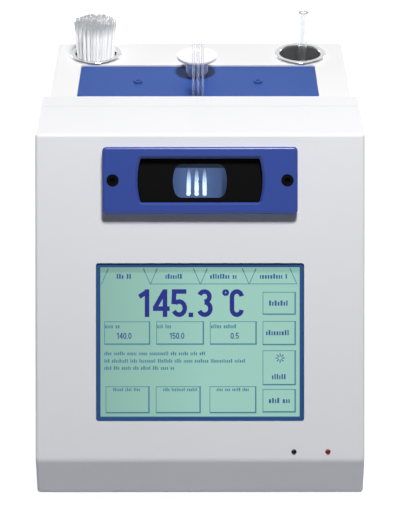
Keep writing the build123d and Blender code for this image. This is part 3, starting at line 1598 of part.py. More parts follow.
# Mains inlet, switch and computer socket

inlet_face_y = rear_face_y + inlet_flange_thickness
socket_floor_y = inlet_face_y - inlet_socket_depth
pin_places = ((-pin_spacing / 2, 0), (pin_spacing / 2, 0), (0, earth_pin_rise))
inlet_socket_z = inlet_z + inlet_socket_rise
fuse_z = inlet_z - fuse_drop

with BuildPart() as inlet_body:
    with BuildSketch(upright(rear_face_y)):
        with Locations((inlet_x, inlet_z)):
            RectangleRounded(inlet_flange_width, inlet_flange_height, cover_bend)
    extrude(amount=-inlet_flange_thickness)
    with BuildSketch(upright(rear_face_y)):
        with Locations((inlet_x, inlet_z)):
            Rectangle(inlet_body_width, inlet_body_height)
    extrude(amount=inlet_body_depth)
    with BuildSketch(upright(inlet_face_y)):
        with Locations((inlet_x, inlet_socket_z)):
            Rectangle(inlet_socket_width, inlet_socket_height)
        chamfer(vertices().group_by(Axis.Y)[-1], length=inlet_socket_chamfer)
    extrude(amount=inlet_socket_depth, mode=Mode.SUBTRACT)
    with BuildSketch(upright(inlet_face_y)):
        with Locations((inlet_x, fuse_z)):
            Rectangle(fuse_width, fuse_height)
    extrude(amount=fuse_depth, mode=Mode.SUBTRACT)
    with BuildSketch(upright(socket_floor_y)):
        with Locations((inlet_x, inlet_socket_z)):
            with Locations(*pin_places):
                Rectangle(pin_width, pin_height)
    extrude(amount=inlet_body_depth, mode=Mode.SUBTRACT)
inlet_body.part.label = "inlet_body"
export_step(inlet_body.part, "parts/inlet_body.step")

with BuildPart() as inlet_pins:
    with BuildSketch(upright(socket_floor_y + pin_reach)):
        with Locations((inlet_x, inlet_socket_z)):
            with Locations(*pin_places):
                Rectangle(pin_width, pin_height)
    extrude(amount=socket_floor_y + pin_reach - (rear_face_y - inlet_body_depth) + pin_tail)
inlet_pins.part.label = "inlet_pins"
export_step(inlet_pins.part, "parts/inlet_pins.step")

with BuildPart() as fuse_drawer:
    with BuildSketch(upright(inlet_face_y + fuse_face_proud)):
        with Locations((inlet_x, fuse_z)):
            Rectangle(fuse_width - 2 * fuse_fit, fuse_height - 2 * fuse_fit)
    extrude(amount=fuse_depth - fuse_fit + fuse_face_proud)
    # A trough holds the fuses, and a notch in the face takes a fingernail
    with BuildSketch(Plane.XY.offset(fuse_z + fuse_height / 2 - fuse_fit)):
        with Locations((inlet_x, inlet_face_y - fuse_depth / 2)):
            Rectangle(fuse_width - 4 * inlet_flange_thickness, fuse_depth - 2 * inlet_flange_thickness)
    extrude(amount=-(fuse_height - 2 * fuse_fit - inlet_flange_thickness), mode=Mode.SUBTRACT)
    with BuildSketch(upright(inlet_face_y + fuse_face_proud)):
        with Locations((inlet_x, fuse_z - fuse_height / 2 + fuse_fit)):
            Rectangle(fuse_width / 3, fuse_height / 3, align=(Align.CENTER, Align.MIN))
    extrude(amount=fuse_face_proud, mode=Mode.SUBTRACT)
fuse_drawer.part.label = "fuse_drawer"
export_step(fuse_drawer.part, "parts/fuse_drawer.step")

switch_face_y = rear_face_y + switch_bezel_thickness
pivot_y = switch_face_y - rocker_pivot_depth

with BuildPart() as switch_body:
    with BuildSketch(upright(rear_face_y)):
        with Locations((inlet_x, switch_z)):
            RectangleRounded(switch_bezel_width, switch_bezel_height, switch_wall)
    extrude(amount=-switch_bezel_thickness)
    with BuildSketch(upright(rear_face_y)):
        with Locations((inlet_x, switch_z)):
            Rectangle(switch_well_width + 2 * switch_wall, switch_well_height + 2 * switch_wall)
    extrude(amount=switch_depth)
    with BuildSketch(upright(switch_face_y)):
        with Locations((inlet_x, switch_z)):
            Rectangle(switch_well_width, switch_well_height)
    extrude(amount=switch_depth + switch_bezel_thickness - switch_wall, mode=Mode.SUBTRACT)
    with BuildSketch(Plane.YZ.offset(inlet_x)):
        with Locations((pivot_y, switch_z)):
            Circle(rocker_pin_diameter / 2 + shaft_clearance)
    extrude(amount=switch_well_width / 2 + switch_wall, both=True, mode=Mode.SUBTRACT)
switch_body.part.label = "switch_body"
export_step(switch_body.part, "parts/switch_body.step")

with BuildPart() as power_rocker:
    rocker_rise = rocker_half_length * tan(radians(rocker_throw / 2))
    face_y = pivot_y + rocker_waist
    with BuildSketch(Plane.YZ.offset(inlet_x)):
        with Locations((pivot_y, switch_z)):
            Circle(rocker_barrel_radius)
        with Locations((face_y, switch_z)):
            Rectangle(
                rocker_waist,
                3 * rocker_barrel_radius,
                align=(Align.MIN, Align.CENTER),
                mode=Mode.SUBTRACT,
            )
        Polygon(
            (face_y, switch_z),
            (face_y + rocker_rise, switch_z + rocker_half_length),
            (pivot_y, switch_z + rocker_barrel_radius),
            (pivot_y, switch_z - rocker_barrel_radius),
            (face_y + rocker_rise, switch_z - rocker_half_length),
            align=None,
        )
    extrude(amount=switch_well_width / 2 - rocker_fit, both=True)
    with BuildSketch(Plane.YZ.offset(inlet_x)):
        with Locations((pivot_y, switch_z)):
            Circle(rocker_pin_diameter / 2)
    extrude(amount=switch_well_width / 2 + rocker_pin_length, both=True)
rocker_axis = Axis((inlet_x, pivot_y, switch_z), (1, 0, 0))
power_rocker.part = power_rocker.part.rotate(rocker_axis, rocker_throw / 2)
power_rocker.part.label = "power_rocker"
export_step(power_rocker.part, "parts/power_rocker.step")

with BuildPart() as computer_socket:
    with BuildSketch(upright(rear_inner_y)):
        with Locations((socket_x, socket_z)):
            Rectangle(socket_width + 2 * socket_flange, socket_height + 2 * socket_flange)
    extrude(amount=socket_wall)
    with BuildSketch(upright(rear_face_y)):
        with Locations((socket_x, socket_z)):
            Rectangle(socket_width, socket_height)
    extrude(amount=socket_depth)
    with BuildSketch(upright(rear_face_y)):
        with Locations((socket_x, socket_z)):
            Rectangle(socket_width - 2 * socket_wall, socket_height - 2 * socket_wall)
            Rectangle(socket_tongue_width, socket_tongue_height, mode=Mode.SUBTRACT)
    extrude(amount=socket_depth - 2 * socket_wall, mode=Mode.SUBTRACT)
computer_socket.part.label = "computer_socket"
export_step(computer_socket.part, "parts/computer_socket.step")
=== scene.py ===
# %% [markdown]
# # A melting point apparatus
#
# The real instrument is a small bench cabinet. Its moulded front leans back, so that a person who
# stands over it can read the display and look through the magnifier above it. Behind the magnifier
# three glass capillaries stand in a small oven. This lesson takes the solid model as a fixed frame,
# gives each part the finish of its real material, and adds what a solid model doesn't hold: the
# picture on the display, the powder in the capillaries and a dense bundle of spare tubes.

# %% Load the frame
import bmesh
import bpy
import random
from math import cos, pi, radians, sin
from mathutils import Matrix, Vector


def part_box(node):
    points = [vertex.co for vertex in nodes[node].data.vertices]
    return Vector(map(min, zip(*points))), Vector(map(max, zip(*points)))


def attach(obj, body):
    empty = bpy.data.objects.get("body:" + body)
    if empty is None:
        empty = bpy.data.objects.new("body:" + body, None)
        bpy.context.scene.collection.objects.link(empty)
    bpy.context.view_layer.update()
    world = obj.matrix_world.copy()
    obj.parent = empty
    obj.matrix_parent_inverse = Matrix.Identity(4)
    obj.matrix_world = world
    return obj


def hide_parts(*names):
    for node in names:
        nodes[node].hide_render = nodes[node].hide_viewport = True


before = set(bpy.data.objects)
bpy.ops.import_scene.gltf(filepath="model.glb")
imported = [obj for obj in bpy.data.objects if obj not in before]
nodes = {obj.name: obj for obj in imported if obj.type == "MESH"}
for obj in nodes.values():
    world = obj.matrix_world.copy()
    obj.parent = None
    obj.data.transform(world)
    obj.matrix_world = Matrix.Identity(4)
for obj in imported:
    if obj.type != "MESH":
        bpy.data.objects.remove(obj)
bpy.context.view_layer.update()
MM = 0.001

# %% [markdown]
# ## Camera
#
# The photograph looks down on the instrument from straight in front with a long lens. The picture's
# width spans a little more than the instrument, so the camera stands almost a metre away. A long lens
# keeps the sides of the cabinet nearly parallel, as the photograph does.

# %% Camera
CAMERA_PLACE = (-0.0010, -0.9295, 0.6247)
CAMERA_PITCH = 29.5
CAMERA_TURN = -0.065
SENSOR_WIDTH = 36.0
FOCAL_LENGTH = 156.3

camera_data = bpy.data.cameras.new("camera")
camera_data.sensor_fit = "HORIZONTAL"
camera_data.sensor_width = SENSOR_WIDTH
camera_data.lens = FOCAL_LENGTH
camera = bpy.data.objects.new("camera", camera_data)
camera.location = CAMERA_PLACE
camera.rotation_euler = (radians(90 - CAMERA_PITCH), 0.0, radians(CAMERA_TURN))
bpy.context.collection.objects.link(camera)
bpy.context.scene.camera = camera
bpy.context.scene.view_settings.view_transform = "Standard"
print("Camera at", CAMERA_PLACE)

# %% [markdown]
# ## Helpers for node trees
#
# A colour picked from a screen is in sRGB, while the shader works with linear light, so one function
# turns a hex value into linear numbers. Another adds a node of any kind, gives it its settings, and
# links what is passed to its sockets. Everything in the materials below is said with these two.


# %% Colours and nodes
def colour(hex_code):
    """A hex sRGB colour as linear red, green, blue and alpha."""
    parts = [int(hex_code[place:place + 2], 16) / 255 for place in (0, 2, 4)]
    linear = [part / 12.92 if part <= 0.04045 else ((part + 0.055) / 1.055) ** 2.4 for part in parts]
    return (*linear, 1.0)


def add_node(tree, kind, settings=None, **inputs):
    """Adds a node. An input is named in0, in1 and so on, or by its name with _ for a space.

    Its value is a plain value, another node's output, or a node, which stands for its first output.
    """
    node = tree.nodes.new(kind)
    for name, value in (settings or {}).items():
        setattr(node, name, value)
    for name, value in inputs.items():
        numbered = name.startswith("in") and name[2:].isdigit()
        socket = node.inputs[int(name[2:]) if numbered else name.replace("_", " ")]
        if isinstance(value, bpy.types.Node):
            value = value.outputs[0]
        if isinstance(value, bpy.types.NodeSocket):
            tree.links.new(value, socket)
        else:
            socket.default_value = value
    return node


def new_material(name, **inputs):
    """A material with one Principled shader; returns the material, its tree and the shader."""
    material = bpy.data.materials.new(name)
    material.use_nodes = True
    tree = material.node_tree
    shader = tree.nodes["Principled BSDF"]
    for key, value in inputs.items():
        shader.inputs[key.replace("_", " ")].default_value = value
    return material, tree, shader


def per_mm(size):
    """The scale of a texture whose features are size millimetres across."""
    return 1.0 / (size * MM)


print("Middle grey 808080 in linear light:", round(colour("808080")[0], 3))

# %% [markdown]
# ## Moulded plastic
#
# The front is moulded ABS. Its mould was spark eroded, which leaves an even grain of small pits that
# makes the surface matt. A fine noise drives a bump, and a broad one changes the colour a little,
# because a large moulding is never one flat tone. The same recipe in blue and black makes the
# magnifier's bezel, the display's frame and the black fittings at the back.

# %% Moulded finish
BROAD_TONE = 70.0


def moulded_plastic(name, shade, grain, depth, roughness, drift=0.03, gloss=0.5):
    """Moulded plastic: grain and depth in millimetres, drift is how far the tone wanders."""
    material, tree, shader = new_material(name, Roughness=roughness, IOR=1.52, Specular_IOR_Level=gloss)
    place = add_node(tree, "ShaderNodeTexCoord").outputs["Object"]
    pits = add_node(tree, "ShaderNodeTexNoise", Vector=place, Scale=per_mm(grain), Detail=3.0, Roughness=0.6)
    broad = add_node(tree, "ShaderNodeTexNoise", Vector=place, Scale=per_mm(BROAD_TONE), Detail=2.0)
    tone = add_node(tree, "ShaderNodeMapRange", Value=broad.outputs["Fac"], To_Min=1 - drift,
                    To_Max=1 + drift)
    tinted = add_node(tree, "ShaderNodeVectorMath", {"operation": "SCALE"}, in0=colour(shade)[:3],
                      Scale=tone.outputs["Result"])
    tree.links.new(tinted.outputs["Vector"], shader.inputs["Base Color"])
    relief = add_node(tree, "ShaderNodeBump", Strength=0.5, Distance=depth * MM, Height=pits.outputs["Fac"])
    tree.links.new(relief.outputs["Normal"], shader.inputs["Normal"])
    return material


white_abs = moulded_plastic("white_spark_eroded_abs", "E1E1E4", 0.6, 0.02, 0.48, 0.008)
blue_abs = moulded_plastic("blue_satin_abs", "364B98", 0.5, 0.015, 0.3, gloss=0.4)
border_blue = moulded_plastic("dark_blue_abs", "2C5286", 0.5, 0.015, 0.34, gloss=0.3)
black_abs = moulded_plastic("black_satin_abs", "121113", 0.5, 0.015, 0.38, gloss=0.3)
black_matt = moulded_plastic("black_matt_nylon", "0A090A", 0.4, 0.03, 0.75, gloss=0.06)
black_rubber = moulded_plastic("black_moulded_rubber", "1B1B1C", 0.8, 0.04, 0.8)
ivory_ceramic = moulded_plastic("pressed_ceramic_fibre", "DAD5C8", 1.2, 0.15, 0.9, 0.05)
print("Moulded finishes made")

# %% [markdown]
# ## Powder coat and paint
#
# The housing behind the front is bent steel sheet with a powder coat. The powder melts into a film
# with a faint orange peel, about two millimetres from hill to hill, under a soft gloss. The blue top
# plate has the same kind of paint.

# %% Coated steel
PEEL = 2.0
PEEL_DEPTH = 0.03
COAT_TONE = 60.0
COAT_DRIFT = 0.015


def powder_coat(name, shade, roughness, gloss):
    """Powder coated sheet steel, with its orange peel."""
    material, tree, shader = new_material(name, Roughness=roughness, IOR=1.5, Specular_IOR_Level=gloss)
    place = add_node(tree, "ShaderNodeTexCoord").outputs["Object"]
    peel = add_node(tree, "ShaderNodeTexNoise", Vector=place, Scale=per_mm(PEEL), Detail=1.5)
    broad = add_node(tree, "ShaderNodeTexNoise", Vector=place, Scale=per_mm(COAT_TONE), Detail=2.0)
    tone = add_node(tree, "ShaderNodeMapRange", Value=broad.outputs["Fac"], To_Min=1 - COAT_DRIFT,
                    To_Max=1 + COAT_DRIFT)
    tinted = add_node(tree, "ShaderNodeVectorMath", {"operation": "SCALE"}, in0=colour(shade)[:3],
                      Scale=tone.outputs["Result"])
    tree.links.new(tinted.outputs["Vector"], shader.inputs["Base Color"])
    relief = add_node(tree, "ShaderNodeBump", Strength=0.35, Distance=PEEL_DEPTH * MM,
                      Height=peel.outputs["Fac"])
    tree.links.new(relief.outputs["Normal"], shader.inputs["Normal"])
    return material


white_enamel = powder_coat("white_powder_coat", "E6E5E6", 0.4, 0.35)
blue_enamel = powder_coat("blue_powder_coat", "345298", 0.45, 0.12)
print("Coated finishes made")

# %% [markdown]
# ## Metals
#
# Bare metal gets all its colour from reflection, so metallic is 1 and the base colour is the
# metal's own tint. What tells one from another is how its surface was made: zinc plate has soft
# grey patches, chrome is a mirror with a haze of fine scratches, which scatter a little light, and
# black oxide is a dark, slightly oily skin.


# %% Metal finishes
def worked_metal(name, shade, roughness, patch, spread, bare=1.0):
    """Bare or plated metal: patch is the pattern's size in millimetres, spread its change of gloss."""
    material, tree, shader = new_material(name, Metallic=bare, Base_Color=colour(shade))
    place = add_node(tree, "ShaderNodeTexCoord").outputs["Object"]
    grain = add_node(tree, "ShaderNodeTexNoise", Vector=place, Scale=per_mm(patch), Detail=4.0)
    gloss = add_node(tree, "ShaderNodeMapRange", Value=grain.outputs["Fac"], To_Min=roughness - spread,
                     To_Max=roughness + spread)
    tree.links.new(gloss.outputs["Result"], shader.inputs["Roughness"])
    relief = add_node(tree, "ShaderNodeBump", Strength=0.2, Distance=0.01 * MM, Height=grain.outputs["Fac"])
    tree.links.new(relief.outputs["Normal"], shader.inputs["Normal"])
    return material


zinc_plate = worked_metal("zinc_plated_steel", "B6B9BC", 0.38, 4.0, 0.08)
bright_chrome = worked_metal("bright_chrome_plate", "D9DADC", 0.12, 3.0, 0.05, 0.87)
black_oxide = worked_metal("black_oxide_steel", "1A1A1C", 0.42, 1.5, 0.08)
nickel_plate = worked_metal("nickel_plated_brass", "CBC5B2", 0.25, 2.0, 0.06)
print("Metal finishes made")

# %% [markdown]
# ## Glass
#
# The capillaries and the packing tube are drawn from soda-lime glass. Drawing pulls small waves into
# it along its length, which show as a faint unevenness in what is seen through it. A thin wall bends
# light less than a solid rod would, so the capillaries get a lower index. Packed in a bundle, tubes
# scatter most of the light and look white, and their top few millimetres get a painted grey shade.
# The magnifier is optical glass, ground and polished, so it has no waves.

# %% Glass finishes
MOUTH_SHADE = 9.0
MOUTH_GREYEST = 1.5


def drawn_glass(name, tint, wave, clear, bend=1.5):
    """Glass drawn into tube, with waves of wave millimetres along Z.

    Clear is the share of light that goes through, and bend the index of refraction.
    """
    material, tree, shader = new_material(name, Base_Color=colour(tint), Roughness=0.02, IOR=bend,
                                          Transmission_Weight=clear)
    place = add_node(tree, "ShaderNodeTexCoord").outputs["Object"]
    along = add_node(tree, "ShaderNodeMapping", Vector=place, Scale=(0.2, 0.2, 1.0))
    ripple = add_node(tree, "ShaderNodeTexNoise", Vector=along, Scale=per_mm(wave), Detail=1.0)
    relief = add_node(tree, "ShaderNodeBump", Strength=0.1, Distance=0.02 * MM, Height=ripple.outputs["Fac"])
    tree.links.new(relief.outputs["Normal"], shader.inputs["Normal"])
    return material


tube_glass = drawn_glass("drawn_soda_glass", "F9FAFA", 9.0, 0.95)
thin_glass = drawn_glass("thin_capillary_glass", "FCFCFF", 14.0, 0.92, 1.3)
bundled_glass = drawn_glass("bundled_capillary_glass", "F8F9FB", 14.0, 0.12)
tree = bundled_glass.node_tree
shader = tree.nodes["Principled BSDF"]
spare_low, spare_high = (Vector(corner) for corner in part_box("spare_capillaries"))
rise = add_node(tree, "ShaderNodeSeparateXYZ", Vector=add_node(tree, "ShaderNodeTexCoord").outputs["Object"])
# Painted shade: the colour turns greyer over the top few millimetres of the bundle.
painted_mouth_shade = add_node(tree, "ShaderNodeMapRange", Value=rise.outputs["Z"],
                 From_Min=spare_high.z - MOUTH_SHADE * MM, From_Max=spare_high.z - MOUTH_GREYEST * MM)
tone = add_node(tree, "ShaderNodeMix", {"data_type": "RGBA"}, in0=painted_mouth_shade, in6=colour("FAFBFC"),
                in7=colour("A6A9AD"))
tree.links.new(tone.outputs[2], shader.inputs["Base Color"])
lens_glass = new_material("polished_crown_glass", Base_Color=colour("FFFFFF"), Roughness=0.0, IOR=1.517,
                          Transmission_Weight=1.0)[0]
print("Glass finishes made")

# %% [markdown]
# ## Turned PTFE
#
# The white plug is turned from PTFE, a soft waxy plastic. Light goes a little way into it, so its
# edges glow, and the lathe tool leaves fine rings about its own axis. The rings read the distance
# from that axis, which is why the pattern is first moved to the plug's middle.

# %% PTFE
LATHE_RING = 0.8
plug_low, plug_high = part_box("port_plug")
plug_middle = (Vector(plug_low) + Vector(plug_high)) / 2
white_ptfe, tree, shader = new_material("turned_ptfe", Base_Color=colour("F7F7F8"), Roughness=0.34, IOR=1.38,
                                        Subsurface_Weight=0.2, Subsurface_Scale=2.0 * MM)
place = add_node(tree, "ShaderNodeTexCoord").outputs["Object"]
centred = add_node(tree, "ShaderNodeMapping", Vector=place, Location=-plug_middle)
rings = add_node(tree, "ShaderNodeTexWave", {"wave_type": "RINGS", "rings_direction": "Z"},
                 Vector=centred.outputs["Vector"], Scale=per_mm(LATHE_RING) / (2 * pi), Distortion=0.3)
relief = add_node(tree, "ShaderNodeBump", Strength=0.25, Distance=0.01 * MM, Height=rings.outputs["Fac"])
tree.links.new(relief.outputs["Normal"], shader.inputs["Normal"])
print("PTFE made about", tuple(round(v, 4) for v in plug_middle))

# %% [markdown]
# ## Boards and lamps
#
# Circuit boards are glass fibre with a green solder mask, and the weave of the fibre shows through
# as a fine square pattern. The status lamps are diffused epoxy domes: dark while they are off,
# with a weak glow when they are on.

# %% Boards and lamps
WEAVE = 0.9
DIFFUSER_GRAIN = 0.4
green_board, tree, shader = new_material("green_solder_mask", Base_Color=colour("1F5C3B"), Roughness=0.35)
place = add_node(tree, "ShaderNodeTexCoord").outputs["Object"]
weave = add_node(tree, "ShaderNodeTexChecker", Vector=place, Scale=per_mm(WEAVE))
relief = add_node(tree, "ShaderNodeBump", Strength=0.3, Distance=0.02 * MM, Height=weave.outputs["Fac"])
tree.links.new(relief.outputs["Normal"], shader.inputs["Normal"])


def lamp_epoxy(name, shade, glow, strength):
    """The coloured epoxy of a status lamp, cloudy with fine diffuser powder."""
    material, tree, shader = new_material(name, Base_Color=colour(shade), Roughness=0.25, IOR=1.54,
                                          Emission_Color=colour(glow), Emission_Strength=strength)
    place = add_node(tree, "ShaderNodeTexCoord").outputs["Object"]
    powder = add_node(tree, "ShaderNodeTexNoise", Vector=place, Scale=per_mm(DIFFUSER_GRAIN), Detail=2.0)
    relief = add_node(tree, "ShaderNodeBump", Strength=0.2, Distance=0.02 * MM, Height=powder.outputs["Fac"])
    tree.links.new(relief.outputs["Normal"], shader.inputs["Normal"])
    return material


dark_lamp = lamp_epoxy("smoked_lamp_epoxy", "0E0E10", "000000", 0.0)
red_lamp = lamp_epoxy("red_lamp_epoxy", "6E1822", "7A1020", 0.12)
print("Boards and lamps made")

# %% [markdown]
# ## Display face
#
# The display is a backlit liquid crystal panel under a touch film. Three quarters of its light come
# from behind, from a tube at the right, so its green is a little darker in the left half. Its dots
# are 0.36 mm apart, too fine for the picture to show, so the grid of gaps is drawn three dots wide
# and very faint. The panel leans back, so the pattern is first turned into the panel's own plane.

# %% Display finish
PANEL_LEAN = radians(28.7)
SCREEN_WIDTH = 115.2
SCREEN_HEIGHT = 86.4
DOT = 0.36
DOTS_DRAWN = 3
BACKLIGHT_SHARE = 0.75
BACKLIGHT_DIM = 0.94
BACKLIGHT_FULL = 1.22
FULL_FROM = 5.0

lcd_green, tree, shader = new_material("backlit_liquid_crystal", Roughness=0.42, IOR=1.5)
place = add_node(tree, "ShaderNodeTexCoord").outputs["Object"]
screen_low, screen_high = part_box("touch_screen")
screen_middle = (Vector(screen_low) + Vector(screen_high)) / 2
upright_place = add_node(tree, "ShaderNodeMapping", {"vector_type": "TEXTURE"}, Vector=place,
                         Location=screen_middle, Rotation=(pi / 2 - PANEL_LEAN, 0.0, 0.0))
gaps = add_node(tree, "ShaderNodeTexBrick", {"offset": 0.0, "squash": 1.0}, Vector=upright_place,
                Color1=(1, 1, 1, 1), Color2=(1, 1, 1, 1), Mortar=(0.965, 0.965, 0.965, 1),
                Scale=per_mm(DOTS_DRAWN * DOT), Mortar_Size=0.08, Brick_Width=1.0, Row_Height=1.0)
sideways = add_node(tree, "ShaderNodeSeparateXYZ", Vector=upright_place.outputs["Vector"])
backlight = add_node(tree, "ShaderNodeMapRange", Value=sideways.outputs["X"],
                     From_Min=-SCREEN_WIDTH / 2 * MM, From_Max=FULL_FROM * MM, To_Min=BACKLIGHT_DIM,
                     To_Max=BACKLIGHT_FULL)
lit = add_node(tree, "ShaderNodeVectorMath", {"operation": "SCALE"}, in0=colour("8FBBAF")[:3],
               Scale=backlight.outputs["Result"])
drawn = add_node(tree, "ShaderNodeVectorMath", {"operation": "MULTIPLY"}, in0=lit.outputs["Vector"],
                 in1=gaps.outputs["Color"])
film = add_node(tree, "ShaderNodeVectorMath", {"operation": "SCALE"}, in0=drawn.outputs["Vector"],
                Scale=1 - BACKLIGHT_SHARE)
tree.links.new(film.outputs["Vector"], shader.inputs["Base Color"])
tree.links.new(drawn.outputs["Vector"], shader.inputs["Emission Color"])
shader.inputs["Emission Strength"].default_value = BACKLIGHT_SHARE
print("Display finish made")

# %% [markdown]
# ## The oven and its painted glow
#
# The heater block is black anodised aluminium, and the tube in front of it is blackened inside. A lamp
# in the real oven fills the chamber around the three capillaries with bluish light, which dies away
# within a few centimetres. The lamp is hidden in the insulation, so the walls get a painted glow
# instead, an emission that stands in for the lamp's light on them.

# %% Oven finish
CUTTER_MARK = 3.0
oven_low, oven_high = (Vector(corner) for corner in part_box("sample_capillary_middle"))
oven_axis = (oven_low + oven_high) / 2


def painted_glow_metal(name, shade, glow, near, far):
    """Machined metal with a painted glow for the oven lamp's light, dying away between near and far
    millimetres.
    """
    material, tree, shader = new_material(name, Base_Color=colour(shade), Roughness=0.45, Metallic=0.3,
                                          Emission_Color=colour(glow))
    place = add_node(tree, "ShaderNodeTexCoord").outputs["Object"]
    level = add_node(tree, "ShaderNodeMapping", Vector=place, Location=(-oven_axis.x, -oven_axis.y, 0.0),
                     Scale=(1.0, 1.0, 0.0))
    away = add_node(tree, "ShaderNodeVectorMath", {"operation": "LENGTH"}, in0=level.outputs["Vector"])
    painted_glow_fade = add_node(tree, "ShaderNodeMapRange", Value=away.outputs["Value"], From_Min=near * MM,
                    From_Max=far * MM, To_Min=1.0, To_Max=0.0)
    cutter = add_node(tree, "ShaderNodeTexNoise", Vector=place, Scale=per_mm(CUTTER_MARK), Detail=2.0)
    wall = add_node(tree, "ShaderNodeMapRange", Value=cutter.outputs["Fac"], To_Min=0.85, To_Max=1.15)
    lit = add_node(tree, "ShaderNodeMath", {"operation": "MULTIPLY"}, in0=painted_glow_fade.outputs["Result"],
                   in1=wall.outputs["Result"])
    # Painted light: this emission stands in for the oven lamp's light on the wall.
    tree.links.new(lit.outputs["Value"], shader.inputs["Emission Strength"])
    relief = add_node(tree, "ShaderNodeBump", Strength=0.2, Distance=0.01 * MM, Height=cutter.outputs["Fac"])
    tree.links.new(relief.outputs["Normal"], shader.inputs["Normal"])
    return material


block_with_painted_glow = painted_glow_metal("black_anodised_aluminium_painted_glow", "26282E", "4E6AA0", 5.0, 20.0)
tube_with_painted_glow = painted_glow_metal("blackened_tube", "0A090A", "6480B4", 10.0, 34.0)
print("Oven axis:", tuple(round(v, 4) for v in oven_axis))

# %% [markdown]
# ## Dressing the solid parts
#
# Each solid of the frame now takes its finish. A table says which finish each piece has on the real
# instrument, and a loop puts it into the piece's material slot. The solids themselves aren't touched.

# %% Finishes of the solid parts
FINISHES = {
    white_abs: ["front_shell", "collar_frame"],
    white_enamel: ["housing_cover", "rear_panel"],
    zinc_plate: ["base_tray", "oven_stand", "fan_guard", "foot_screws", "shell_screws", "housing_screws",
                 "bezel_nuts", "board_screws", "fan_screws", "display_module", "computer_socket",
                 "cartridge_heater", "temperature_sensor"],
    blue_abs: ["viewer_bezel"],
    border_blue: ["display_border_frame"],
    blue_enamel: ["top_plate", "plate_screws"],
    black_abs: ["fan_frame", "fan_rotor", "inlet_body", "fuse_drawer", "switch_body", "power_rocker",
                "lens_ring", "camera_barrel"],
    black_matt: ["viewer_insert"],
    tube_with_painted_glow: ["viewing_tube"],
    black_rubber: ["feet"],
    black_oxide: ["bezel_screws"],
    nickel_plate: ["standoffs", "plate_pillars", "inlet_pins"],
    bright_chrome: ["left_cup", "right_cup"],
    block_with_painted_glow: ["heater_block"],
    ivory_ceramic: ["oven_jacket", "oven_lid", "capillary_guide"],
    white_ptfe: ["port_plug", "port_sleeve"],
    thin_glass: ["sample_capillary_left", "sample_capillary_middle", "sample_capillary_right",
                 "spare_capillaries"],
    tube_glass: ["packing_tube"],
    lens_glass: ["magnifier_lens", "beam_splitter", "oven_window"],
    green_board: ["camera_board", "main_board", "lamp_board", "sample_light", "power_supply"],
    dark_lamp: ["ready_lamp"],
    red_lamp: ["power_lamp"],
    lcd_green: ["touch_screen"],
}
for finish, dressed in FINISHES.items():
    for name in dressed:
        for material_slot in nodes[name].material_slots:
            material_slot.material = finish
undressed = set(nodes) - {name for dressed in FINISHES.values() for name in dressed}
print("Solids without a finish:", sorted(undressed))

# %% [markdown]
# ## Background and room
#
# A weak even sky fills the shadows. The white background isn't made with more light, which would wash
# the object out: only the camera's own rays find the sky white. What is mirrored in gloss or chrome,
# or seen through glass, is a dark room with a bright ceiling and a bright backdrop behind, because
# chrome in an all-white room would look like paper.

# %% Sky
world = bpy.data.worlds.new("studio")
world.use_nodes = True
bpy.context.scene.world = world
SKY_FILL = 0.04
ROOM_DARK = 0.12
ROOM_BRIGHT = 1.0
BACKDROP = ("Y", 0.0, 0.6)
CEILING = ("Z", 0.75, 0.98)
GREATER = {"operation": "MAXIMUM"}

sky = world.node_tree
heading = add_node(sky, "ShaderNodeSeparateXYZ",
                   Vector=add_node(sky, "ShaderNodeTexCoord").outputs["Generated"])
walls = [add_node(sky, "ShaderNodeMapRange", Value=heading.outputs[axis], From_Min=dark_until,
                  From_Max=bright_from, To_Min=ROOM_DARK, To_Max=ROOM_BRIGHT)
         for axis, dark_until, bright_from in (BACKDROP, CEILING)]
room = add_node(sky, "ShaderNodeMath", GREATER, in0=walls[0], in1=walls[1])
path = add_node(sky, "ShaderNodeLightPath")
bent = add_node(sky, "ShaderNodeMath", GREATER, in0=path.outputs["Is Glossy Ray"],
                in1=path.outputs["Is Transmission Ray"])
mirrored = add_node(sky, "ShaderNodeMath", {"operation": "MULTIPLY"}, in0=room, in1=bent)
seen = add_node(sky, "ShaderNodeMath", GREATER, in0=path.outputs["Is Camera Ray"], in1=mirrored)
level = add_node(sky, "ShaderNodeMath", GREATER, in0=seen, in1=SKY_FILL)
sky.links.new(level.outputs["Value"], sky.nodes["Background"].inputs["Strength"])
sky.nodes["Background"].inputs["Color"].default_value = (1.0, 1.0, 1.0, 1.0)
print("Sky fill:", SKY_FILL)

# %% [markdown]
# ## Studio paper
#
# The instrument stands on a broad sheet of matt paper. Seen straight, through glass or mirrored in
# metal, the paper is white like the background, and a faint shadow stays on it. To the rest of the
# scene it is a middle grey with a little blue, so that what it throws back onto the chin isn't too
# strong.

# %% Floor
FLOOR_SIZE = 30.0
PAPER_GLOW = 0.96
PAPER_SEEN = (0.35, 0.35, 0.35, 1.0)
PAPER_BOUNCE = (0.35, 0.37, 0.42, 1.0)
floor_mesh = bpy.data.meshes.new("floor")
half_floor = FLOOR_SIZE / 2
corners = [(x * half_floor, y * half_floor, 0.0) for x, y in ((-1, -1), (1, -1), (1, 1), (-1, 1))]
floor_mesh.from_pydata(corners, [], [(0, 1, 2, 3)])
floor = bpy.data.objects.new("floor", floor_mesh)
bpy.context.collection.objects.link(floor)
studio_paper, tree, shader = new_material("matt_studio_paper", Roughness=0.9, Specular_IOR_Level=0.0,
                                          Emission_Color=(1.0, 1.0, 1.0, 1.0))
path = add_node(tree, "ShaderNodeLightPath")
straight = add_node(tree, "ShaderNodeMath", GREATER, in0=path.outputs["Is Camera Ray"],
                    in1=path.outputs["Is Transmission Ray"])
seen = add_node(tree, "ShaderNodeMath", GREATER, in0=straight, in1=path.outputs["Is Glossy Ray"])
paper = add_node(tree, "ShaderNodeMix", {"data_type": "RGBA"}, in0=seen, in6=PAPER_BOUNCE, in7=PAPER_SEEN)
